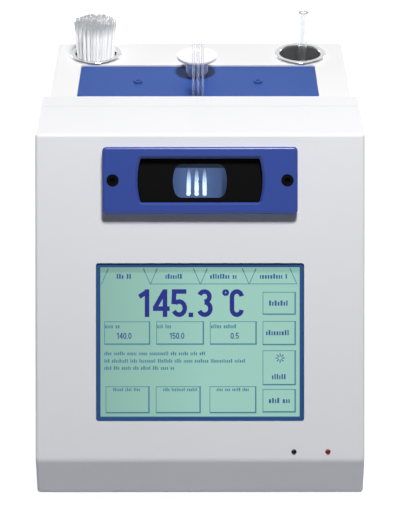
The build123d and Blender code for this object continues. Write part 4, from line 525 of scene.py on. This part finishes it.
tree.links.new(paper.outputs[2], shader.inputs["Base Color"])
lift = add_node(tree, "ShaderNodeMath", {"operation": "MULTIPLY"}, in0=seen, in1=PAPER_GLOW)
tree.links.new(lift.outputs["Value"], shader.inputs["Emission Strength"])
floor_mesh.materials.append(studio_paper)
print("Floor", FLOOR_SIZE, "m wide")

# %% [markdown]
# ## Lamps
#
# One small softbox, high and a little to the right, lights the picture. It leaves the top almost
# white, the leaning front a clear light grey and the upright chin darker, and draws a short dark
# shadow under the magnifier's bezel. Two low softboxes behind, level with the top so that they don't
# reach it, light the sides and the back.


# %% Softboxes
def softbox(name, place, aim, size, power):
    """A square area lamp at place that looks at aim."""
    data = bpy.data.lights.new(name, "AREA")
    data.shape = "SQUARE"
    data.size = size
    data.energy = power
    lamp = bpy.data.objects.new(name, data)
    lamp.location = place
    lamp.rotation_euler = (Vector(aim) - Vector(place)).to_track_quat("-Z", "Y").to_euler()
    bpy.context.collection.objects.link(lamp)


BODY_MIDDLE = (0.0, 0.05, 0.1)
softbox("key_softbox", place=(0.10, -0.38, 1.30), aim=(0.0, 0.0, 0.12), size=0.24, power=17.3)
softbox("rear_left_softbox", place=(-0.85, 0.95, 0.21), aim=BODY_MIDDLE, size=0.3, power=7.0)
softbox("rear_right_softbox", place=(0.95, 0.85, 0.21), aim=BODY_MIDDLE, size=0.3, power=5.0)
print("Lamps placed")

# %% [markdown]
# ## The panel's own plane
#
# The display and the bezel lie on the leaning front, so anything drawn on them is easiest to place in
# millimetres across and down from a corner of the screen. The touch film is a thin leaning slab whose
# box is known, and the lean and the box together give the middle of its front face.

# %% Places on the screen
PANEL_UP = Vector((0.0, sin(PANEL_LEAN), cos(PANEL_LEAN)))
PANEL_OUT = Vector((0.0, -cos(PANEL_LEAN), sin(PANEL_LEAN)))


def front_middle(node):
    """The middle of the front face of a thin slab that leans with the panel."""
    low, high = (Vector(corner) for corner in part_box(node))
    rise, depth = high.z - low.z, high.y - low.y
    height = (rise * cos(PANEL_LEAN) - depth * sin(PANEL_LEAN)) / cos(2 * PANEL_LEAN)
    top = Vector(((low.x + high.x) / 2, 0.0, high.z))
    top.y = low.y + height * sin(PANEL_LEAN)
    return top - PANEL_UP * height / 2


screen_face = front_middle("touch_screen")
SCREEN = Matrix((
    (1.0, 0.0, 0.0, screen_face.x),
    (0.0, PANEL_UP.y, PANEL_OUT.y, screen_face.y),
    (0.0, PANEL_UP.z, PANEL_OUT.z, screen_face.z),
    (0.0, 0.0, 0.0, 1.0),
))


def on_screen(across, down, lift=0.0):
    """A point on the screen, in millimetres from its upper left corner, raised by lift."""
    return SCREEN @ Vector(((across - SCREEN_WIDTH / 2) * MM, (SCREEN_HEIGHT / 2 - down) * MM, lift * MM))


print("Screen middle:", tuple(round(v, 4) for v in screen_face))

# %% [markdown]
# ## What the display shows
#
# Liquid crystal ink is dark blue segments under the film. Each stroke is a closed sliver of geometry
# let into the film's face, so it stays sharp at any size. Rows of small blocks with the height and
# rhythm of writing stand for the notes on the screen, and only plain numbers are drawn. Thin frames
# and notes come out paler than the big reading, as they do on a panel whose dots are only partly
# dark.

# %% Ink for the display
INK_FOOT = -0.02
INK_TOP = 0.08
INK_STEP = 0.01
INK_BLEED = 12.0


def crystal_ink(name, first, second):
    """Liquid crystal ink whose tone wanders between two shades."""
    material, tree, shader = new_material(name, Roughness=0.45, Specular_IOR_Level=0.2)
    place = add_node(tree, "ShaderNodeTexCoord").outputs["Object"]
    bleed = add_node(tree, "ShaderNodeTexNoise", Vector=place, Scale=per_mm(INK_BLEED))
    tone = add_node(tree, "ShaderNodeMix", {"data_type": "RGBA"}, in0=bleed.outputs["Fac"],
                    in6=colour(first), in7=colour(second))
    tree.links.new(tone.outputs[2], shader.inputs["Base Color"])
    return material


line_ink = crystal_ink("pale_crystal_ink", "5A90A8", "4C83A0")
word_ink = crystal_ink("blue_crystal_ink", "4868A0", "3C5A96")
reading_ink = crystal_ink("dark_crystal_ink", "2A2F86", "343C93")
print("Inks made")

# %% [markdown]
# ## Strokes on the screen
#
# Every mark on the display is a closed outline of points, across and down in millimetres. One function
# turns a list of outlines into one mesh of thin slivers, and small ones give the outlines of a bar, a
# stroke, a bent band, a key's frame and a line of writing. Where outlines cross, their faces must not
# lie in one plane, or they would shade each other, so neighbours in the list differ a little in height.

# %% Outlines
LETTER_WIDTHS = (0.24, 0.42)
LOW_LETTER = 0.74
TALL_ONES = 0.3
LETTER_GAP = 0.2
WORD_GAP = 0.5
WORD_LETTERS = 3
WORD_ENDS = 0.25
SHORTEST = 0.3


def new_piece(name, mesh, material, body="instrument"):
    """Links a finished mesh as a piece that rides on a body."""
    mesh.materials.clear()
    mesh.materials.append(material)
    piece = bpy.data.objects.new(name, mesh)
    bpy.context.collection.objects.link(piece)
    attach(piece, body)
    return piece


def draw(name, outlines, ink):
    """Closed slivers on the screen from lists of (across, down); neighbours differ a little in height."""
    work = bmesh.new()
    for number, outline in enumerate(outlines):
        top = INK_TOP + INK_STEP * (number % 3)
        lower = [work.verts.new(on_screen(x, y, INK_FOOT)) for x, y in outline]
        upper = [work.verts.new(on_screen(x, y, top)) for x, y in outline]
        work.faces.new(lower)
        work.faces.new(upper)
        count = len(outline)
        for place in range(count):
            after = (place + 1) % count
            work.faces.new((lower[place], lower[after], upper[after], upper[place]))
    bmesh.ops.recalc_face_normals(work, faces=work.faces)
    mesh = bpy.data.meshes.new(name)
    work.to_mesh(mesh)
    work.free()
    return new_piece(name, mesh, ink)


def bar(left, top, right, bottom):
    """A rectangle's outline."""
    return [(left, top), (right, top), (right, bottom), (left, bottom)]


def stroke(start, end, width):
    """A straight stroke's outline from start to end."""
    run = Vector((end[0] - start[0], end[1] - start[1]))
    side = Vector((-run.y, run.x)).normalized() * width / 2
    return [(p[0] + s * side.x, p[1] + s * side.y) for p, s in ((start, 1), (end, 1), (end, -1), (start, -1))]


def band(points, width):
    """One outline around a bent line, mitred at its bends."""
    runs = [(Vector(end) - Vector(start)).normalized() for start, end in zip(points, points[1:])]
    left, right = [], []
    for place, point in enumerate(points):
        before, after = runs[max(place - 1, 0)], runs[min(place, len(runs) - 1)]
        middle = (before + after).normalized()
        reach = width / 2 / middle.dot(after)
        side = Vector((-middle.y, middle.x)) * reach
        left.append((point[0] + side.x, point[1] + side.y))
        right.append((point[0] - side.x, point[1] - side.y))
    return left + right[::-1]


def box_frame(left, top, right, bottom, line=0.35, shade=0.8):
    """A key's frame: a thin line above and at the sides, and a thick shadow line below and at the right."""
    return [bar(left, top, right, top + line), bar(left, top, left + line, bottom),
            bar(left + line, bottom - shade, right, bottom), bar(right - shade, top, right, bottom)]


def writing(left, right, down, height, rng):
    """A row of letter-sized blocks that stands for writing, with a gap after every few of them."""
    marks = []
    across = left
    letters = 0
    while across < right - SHORTEST * height:
        width = height * rng.uniform(*LETTER_WIDTHS)
        tall = height if rng.random() < TALL_ONES else height * LOW_LETTER
        marks.append(bar(across, down + height / 2 - tall, min(across + width, right), down + height / 2))
        across += width + LETTER_GAP * height
        letters += 1
        if letters >= WORD_LETTERS and rng.random() < WORD_ENDS:
            across += WORD_GAP * height
            letters = 0
    return marks


print("Outlines ready, for example a bar:", bar(0.0, 0.0, 2.0, 1.0))

# %% [markdown]
# ## Tabs, keys and boxes
#
# The screen has four tabs along its top, four keys down its right side, three boxes for the settings
# and three for the samples. Their corners are written down as tables, in millimetres from the screen's
# upper left corner, so that one loop draws them all. The blocks of writing take their widths from a
# random generator with a fixed seed, and so come out the same each time.

# %% Layout
chance = random.Random(7)
TAB_TOP, TAB_FOOT, TAB_SLANT = 0.8, 9.9, 4.0
TAB_EDGES = (0.6, 28.9, 57.8, 86.0, 113.6)
TAB_WRITING = ((9.4, 17.9), (37.6, 48.1), (63.4, 79.9), (92.2, 108.0))
KEYS = ((93.8, 14.4, 113.0, 27.6), (93.8, 31.2, 113.0, 45.2), (93.8, 48.2, 113.0, 68.4),
        (93.8, 70.6, 113.0, 84.2))
KEY_WRITING = ((97.5, 109.7, 20.8), (95.8, 111.2, 37.9), (99.2, 108.1, 63.4), (97.4, 109.8, 77.2))
VALUE_BOXES = ((2.2, 31.4, 28.8, 44.9), (32.3, 31.4, 59.9, 44.9), (63.3, 31.4, 90.4, 44.9))
VALUE_WRITING = ((2.7, 12.0), (32.8, 41.3), (63.9, 80.5))
SAMPLE_BOXES = ((3.0, 69.0, 28.4, 84.6), (32.0, 69.0, 58.0, 84.6), (63.1, 69.0, 90.2, 84.6))
SAMPLE_WRITING = ((7.2, 23.4), (36.2, 56.0), (67.2, 86.0))
NOTE_LINES = ((2.2, 61.0, 49.9), (2.2, 84.2, 54.2), (2.2, 42.7, 58.3))
LINE_WIDTH = 0.4
SYMBOL = (103.9, 52.6)
SPOKES = 8
SPOKE_REACH = (1.0, 2.7)
SPOKE_WIDTH = 0.55

lines = []
for left, right in zip(TAB_EDGES, TAB_EDGES[1:]):
    lines.append(stroke((left, TAB_FOOT), (left + TAB_SLANT, TAB_TOP), LINE_WIDTH))
    lines.append(stroke((right - TAB_SLANT, TAB_TOP), (right, TAB_FOOT), LINE_WIDTH))
lines.append(bar(TAB_EDGES[1], TAB_FOOT - LINE_WIDTH, TAB_EDGES[-1], TAB_FOOT))
for corners in KEYS + VALUE_BOXES + SAMPLE_BOXES:
    lines += box_frame(*corners)
draw("display_lines", lines, line_ink)
print("Lines and frames:", len(lines))

# %% [markdown]
# ## Rows of writing and a symbol
#
# The tabs and keys are written in blue ink, and a ring of eight short spokes marks the third key. The
# notes in and between the boxes are smaller and paler. Each row is set by its middle and its height.

# %% Writing and symbol
TAB_DOWN, TAB_LETTERS = 5.3, 2.8
VALUE_DOWN, VALUE_LETTERS = 34.2, 2.3
SAMPLE_DOWN, SAMPLE_LETTERS = 70.8, 1.9
KEY_LETTERS = 3.0
NOTE_LETTERS = 2.1

marks = []
for left, right in TAB_WRITING:
    marks += writing(left, right, TAB_DOWN, TAB_LETTERS, chance)
for left, right, down in KEY_WRITING:
    marks += writing(left, right, down, KEY_LETTERS, chance)
for spoke in range(SPOKES):
    way = Vector((cos(2 * pi * spoke / SPOKES), sin(2 * pi * spoke / SPOKES)))
    inner, outer = (Vector(SYMBOL) + way * reach for reach in SPOKE_REACH)
    marks.append(stroke(inner, outer, SPOKE_WIDTH))
draw("display_words", marks, word_ink)

notes = []
for left, right in VALUE_WRITING:
    notes += writing(left, right, VALUE_DOWN, VALUE_LETTERS, chance)
for left, right, down in NOTE_LINES:
    notes += writing(left, right, down, NOTE_LETTERS, chance)
for left, right in SAMPLE_WRITING:
    notes += writing(left, right, SAMPLE_DOWN, SAMPLE_LETTERS, chance)
draw("display_notes", notes, line_ink)
print("Blocks of writing and spokes:", len(marks) + len(notes))

# %% [markdown]
# ## Numbers from strokes
#
# The reading's figures are tall and narrow, with one even stroke. Each is a few lines and arcs in a
# box one unit high, and each line or arc becomes one band of ink.


# %% Numbers
def arc(middle, reach, start, end, steps=12):
    """Points along part of an ellipse, from start to end in degrees."""
    turns = [radians(start + (end - start) * step / steps) for step in range(steps + 1)]
    return [(middle[0] + reach[0] * cos(turn), middle[1] + reach[1] * sin(turn)) for turn in turns]


FIGURES = {
    "0": (0.56, [arc((0.27, 0.5), (0.19, 0.42), start, start + 180) for start in (-90, 90)]),
    "1": (0.5, [[(0.06, 0.73), (0.29, 0.9)], [(0.31, 1.0), (0.31, 0.0)]]),
    "3": (0.54, [arc((0.25, 0.735), (0.165, 0.185), 160, -90), arc((0.26, 0.305), (0.185, 0.225), 90, -158)]),
    "4": (0.58, [[(0.39, 0.0), (0.39, 1.0)], [(0.37, 0.93), (0.06, 0.32)], [(0.0, 0.3), (0.54, 0.3)]]),
    "5": (0.57, [[(0.5, 0.92), (0.03, 0.92)], [(0.11, 0.96), (0.085, 0.46)],
                 arc((0.265, 0.32), (0.185, 0.24), 132, -155)]),
    ".": (0.26, [[(0.0, 0.075), (0.15, 0.075)]]),
    "°": (0.3, [arc((0.12, 0.88), (0.075, 0.075), start, start + 180) for start in (-90, 90)]),
    "C": (0.54, [arc((0.26, 0.72), (0.175, 0.2), 8, 180) + arc((0.26, 0.28), (0.175, 0.2), 180, 352)]),
}


def figures(text, across, foot, height, weight, stretch=1.0):
    """Outlines of a number whose lower left corner is at (across, foot).

    Weight is the stroke's share of the height, and stretch widens the figures.
    """
    marks = []
    for character in text:
        width, paths = FIGURES[character]
        for path in paths:
            points = [(across + x * height * stretch, foot - y * height) for x, y in path]
            marks.append(band(points, weight * height))
        across += width * height * stretch
    return marks


READING_HEIGHT = 16.0
READING_FOOT = 28.8
READING = (("145.3", 21.4, 0.165, 1.12), ("°", 70.5, 0.1, 1.0), ("C", 74.7, 0.165, 1.0))
VALUE_HEIGHT = 3.6
VALUE_FOOT = 41.5
VALUE_WEIGHT = 0.15
VALUES = (("140.0", 9.2), ("150.0", 39.8), ("0.5", 75.2))

reading = []
for signs, across, weight, stretch in READING:
    reading += figures(signs, across, READING_FOOT, READING_HEIGHT, weight, stretch)
draw("display_reading", reading, reading_ink)
values = []
for signs, across in VALUES:
    values += figures(signs, across, VALUE_FOOT, VALUE_HEIGHT, VALUE_WEIGHT)
draw("display_values", values, word_ink)
print("Bands in the reading:", len(reading), "and in the settings:", len(values))

# %% [markdown]
# ## Powder in the capillaries
#
# Through the magnifier the three capillaries stand as bright bars before a dim wall, because the
# powder in them catches most of the light. Each is a short packed column whose loose top thins out
# into powder clinging to the glass. The lamp itself is hidden, so the powder gets a painted glow
# instead, an emission that stands in for the lamp's light and fades towards the loose top.

# %% Powder columns
POWDER_FOOT = 2.5
POWDER_HEIGHT = 6.4
POWDER_TAPER = 4.1
POWDER_GLOW = 2.3
POWDER_RADIUS = 0.7
POWDER_TIP = 0.3
BEAD_HEIGHT = 1.2
BEAD_GAP = 0.4
POWDER_SIDES = 20
POWDER_LOW = oven_low.z + POWDER_FOOT * MM
FADE_FROM = 3.4
FADE_TO = 0.22
POWDER_GRAIN = 0.25
powder_with_painted_glow, tree, shader = new_material("lit_sample_powder", Roughness=0.9, Base_Color=colour("C8D4E4"))
place = add_node(tree, "ShaderNodeTexCoord").outputs["Object"]
grains = add_node(tree, "ShaderNodeTexNoise", Vector=place, Scale=per_mm(POWDER_GRAIN), Detail=3.0)
glow = add_node(tree, "ShaderNodeMix", {"data_type": "RGBA"}, in0=grains.outputs["Fac"],
                in6=colour("B4D0EE"), in7=colour("DCF0FF"))
tree.links.new(glow.outputs[2], shader.inputs["Emission Color"])
height = add_node(tree, "ShaderNodeSeparateXYZ", Vector=place)
# Painted light: the powder's emission stands in for the hidden lamp and fades with height.
painted_glow_fade = add_node(tree, "ShaderNodeMapRange", Value=height.outputs["Z"], From_Min=POWDER_LOW + FADE_FROM * MM,
                From_Max=POWDER_LOW + (POWDER_HEIGHT + POWDER_TAPER) * MM, To_Min=POWDER_GLOW, To_Max=FADE_TO)
tree.links.new(painted_glow_fade.outputs["Result"], shader.inputs["Emission Strength"])


def column(name, middle, rings):
    """A closed round column about the upright line through middle; rings are (height, radius)."""
    work = bmesh.new()
    loops = []
    for height, radius in rings:
        turns = [2 * pi * side / POWDER_SIDES for side in range(POWDER_SIDES)]
        loops.append([work.verts.new((middle.x + radius * MM * cos(turn), middle.y + radius * MM * sin(turn),
                                      height)) for turn in turns])
    for lower, upper in zip(loops, loops[1:]):
        for side in range(POWDER_SIDES):
            after = (side + 1) % POWDER_SIDES
            work.faces.new((lower[side], lower[after], upper[after], upper[side]))
    work.faces.new(loops[0][::-1])
    work.faces.new(loops[-1])
    mesh = bpy.data.meshes.new(name)
    work.to_mesh(mesh)
    work.free()
    for polygon in mesh.polygons:
        polygon.use_smooth = abs(polygon.normal.z) < 0.8
    return mesh


def powder_rings(foot):
    """Heights and radii of a packed bead and, above a small gap, of the column with its loose top."""
    bead = foot + BEAD_HEIGHT * MM
    column_foot = bead + BEAD_GAP * MM
    shoulder = foot + POWDER_HEIGHT * MM
    return ([(foot, POWDER_RADIUS * 0.7), (foot + 0.2 * MM, POWDER_RADIUS),
             (bead - 0.1 * MM, POWDER_RADIUS), (bead, POWDER_RADIUS * 0.5)],
            [(column_foot, POWDER_RADIUS * 0.6), (column_foot + 0.15 * MM, POWDER_RADIUS),
             (shoulder, POWDER_RADIUS), (shoulder + POWDER_TAPER * MM * 0.5, POWDER_RADIUS * 0.75),
             (shoulder + POWDER_TAPER * MM, POWDER_TIP)])


for side in ("left", "middle", "right"):
    low, high = (Vector(corner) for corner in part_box(f"sample_capillary_{side}"))
    bead_rings, column_rings = powder_rings(POWDER_LOW)
    for part, rings in (("bead", bead_rings), ("powder", column_rings)):
        mesh = column(f"{part}_{side}", (low + high) / 2, rings)
        new_piece(f"{part}_{side}", mesh, powder_with_painted_glow, f"{side}_capillary")
print("Powder columns made")

# %% [markdown]
# ## A bundle of spare capillaries
#
# The solid model stands for the spare capillaries with a few tubes. The real cup holds a hundred or
# so, packed tight in the cup and fanning out above it. Geometry Nodes sets one hollow tube on each
# point of a sunflower disc, leans it outward with a little twist and lets its height vary.

# %% Bundle
GOLDEN_ANGLE = pi * (3 - 5 ** 0.5)
SPARE_LENGTH = 99.6
ADD = {"operation": "ADD"}
MULTIPLY = {"operation": "MULTIPLY"}
BUNDLE = {
    "Count": ("NodeSocketInt", 88),
    "Foot Radius": ("NodeSocketFloat", 7.8 * MM),
    "Top Radius": ("NodeSocketFloat", 13.2 * MM),
    "Length": ("NodeSocketFloat", SPARE_LENGTH * MM),
    "Twist": ("NodeSocketFloat", radians(38)),
    "Dome": ("NodeSocketFloat", 0.9 * MM),
    "Height Spread": ("NodeSocketFloat", 0.8 * MM),
    "Tube Radius": ("NodeSocketFloat", 0.9 * MM),
    "Wall": ("NodeSocketFloat", 0.15 * MM),
    "Sides": ("NodeSocketInt", 12),
    "Seed": ("NodeSocketInt", 4),
    "Glass": ("NodeSocketMaterial", bundled_glass),
}


def bundle_group():
    """The node group that builds the bundle about the origin, its feet near Z = 0."""
    group = bpy.data.node_groups.new("capillary_bundle", "GeometryNodeTree")
    group.interface.new_socket("Geometry", in_out="OUTPUT", socket_type="NodeSocketGeometry")
    for name, (kind, _) in BUNDLE.items():
        group.interface.new_socket(name, in_out="INPUT", socket_type=kind)
    given = add_node(group, "NodeGroupInput").outputs

    # A sunflower disc: the angle grows by the golden angle, the distance with the root of the count.
    index = add_node(group, "GeometryNodeInputIndex")
    counted = add_node(group, "ShaderNodeMath", ADD, in0=index, in1=0.5)
    part = add_node(group, "ShaderNodeMath", {"operation": "DIVIDE"}, in0=counted, in1=given["Count"])
    share = add_node(group, "ShaderNodeMath", {"operation": "SQRT"}, in0=part)
    angle = add_node(group, "ShaderNodeMath", MULTIPLY, in0=index, in1=GOLDEN_ANGLE)
    turned = add_node(group, "ShaderNodeMath", ADD, in0=angle, in1=given["Twist"])
    ends = []
    for way, radius in ((angle, "Foot Radius"), (turned, "Top Radius")):
        across = add_node(group, "ShaderNodeMath", {"operation": "COSINE"}, in0=way)
        along = add_node(group, "ShaderNodeMath", {"operation": "SINE"}, in0=way)
        outward = add_node(group, "ShaderNodeCombineXYZ", X=across, Y=along)
        reach = add_node(group, "ShaderNodeMath", MULTIPLY, in0=share, in1=given[radius])
        ends.append(add_node(group, "ShaderNodeVectorMath", {"operation": "SCALE"}, in0=outward, Scale=reach))

    # Each tube stands a little higher by chance, and higher in the middle than at the rim.
    chance = add_node(group, "FunctionNodeRandomValue", {"data_type": "FLOAT"}, in2=0.0,
                      in3=given["Height Spread"], ID=index, Seed=given["Seed"]).outputs[1]
    inward = add_node(group, "ShaderNodeMath", {"operation": "SUBTRACT"}, in0=1.0, in1=part)
    dome = add_node(group, "ShaderNodeMath", MULTIPLY, in0=inward, in1=given["Dome"])
    height = add_node(group, "ShaderNodeMath", ADD, in0=chance, in1=dome)
    rise = add_node(group, "ShaderNodeCombineXYZ", Z=height)
    foot = add_node(group, "ShaderNodeVectorMath", ADD, in0=ends[0], in1=rise)

    # A tube's lean is the way from its foot to its top.
    drift = add_node(group, "ShaderNodeVectorMath", {"operation": "SUBTRACT"}, in0=ends[1], in1=ends[0])
    upright = add_node(group, "ShaderNodeCombineXYZ", Z=given["Length"])
    lean = add_node(group, "ShaderNodeVectorMath", ADD, in0=drift, in1=upright)
    turn = add_node(group, "FunctionNodeAlignRotationToVector", {"axis": "Z"}, Vector=lean)

    # The wall's section, a tall thin rectangle, is swept around a circle.
    half_wall = add_node(group, "ShaderNodeMath", MULTIPLY, in0=given["Wall"], in1=0.5)
    mid_wall = add_node(group, "ShaderNodeMath", {"operation": "SUBTRACT"}, in0=given["Tube Radius"],
                        in1=half_wall)
    ring = add_node(group, "GeometryNodeCurvePrimitiveCircle", Resolution=given["Sides"], Radius=mid_wall)
    section = add_node(group, "GeometryNodeCurvePrimitiveQuadrilateral", Width=given["Wall"],
                       Height=given["Length"])
    tube = add_node(group, "GeometryNodeCurveToMesh", Curve=ring, Profile_Curve=section)
    half_length = add_node(group, "ShaderNodeMath", MULTIPLY, in0=given["Length"], in1=0.5)
    lift = add_node(group, "ShaderNodeCombineXYZ", Z=half_length)
    raised = add_node(group, "GeometryNodeTransform", Geometry=tube, Translation=lift)

    points = add_node(group, "GeometryNodePoints", Count=given["Count"], Position=foot)
    set_out = add_node(group, "GeometryNodeInstanceOnPoints", Points=points, Instance=raised, Rotation=turn)
    real = add_node(group, "GeometryNodeRealizeInstances", Geometry=set_out)
    dressed = add_node(group, "GeometryNodeSetMaterial", Geometry=real, Material=given["Glass"])
    add_node(group, "NodeGroupOutput", Geometry=dressed)
    return group


def grown(name, group, values):
    """The plain mesh that a node group makes with the given values."""
    holder = bpy.data.objects.new(name, bpy.data.meshes.new(name))
    bpy.context.collection.objects.link(holder)
    modifier = holder.modifiers.new(name, "NODES")
    modifier.node_group = group
    for item in group.interface.items_tree:
        if item.in_out == "INPUT":
            modifier[item.identifier] = values[item.name]
    bpy.context.view_layer.update()
    mesh = bpy.data.meshes.new_from_object(holder.evaluated_get(bpy.context.evaluated_depsgraph_get()))
    bpy.data.objects.remove(holder)
    mesh.name = name
    return mesh


bundle = grown("spare_bundle_tubes", bundle_group(), {name: value for name, (_, value) in BUNDLE.items()})
bundle.transform(Matrix.Translation(((spare_low.x + spare_high.x) / 2, (spare_low.y + spare_high.y) / 2,
                                     spare_low.z)))
for polygon in bundle.polygons:
    polygon.use_smooth = abs(polygon.normal.z) < 0.5
bundle_piece = new_piece("spare_bundle_tubes", bundle, bundled_glass, "spare_bundle")
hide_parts("spare_capillaries")
corners = [vertex.co for vertex in bundle.vertices]
print("Bundle from", [round(min(c[axis] for c in corners) / MM, 1) for axis in range(3)],
      "to", [round(max(c[axis] for c in corners) / MM, 1) for axis in range(3)], "where the solid spans",
      [round(v / MM, 1) for v in (*spare_low, *spare_high)])
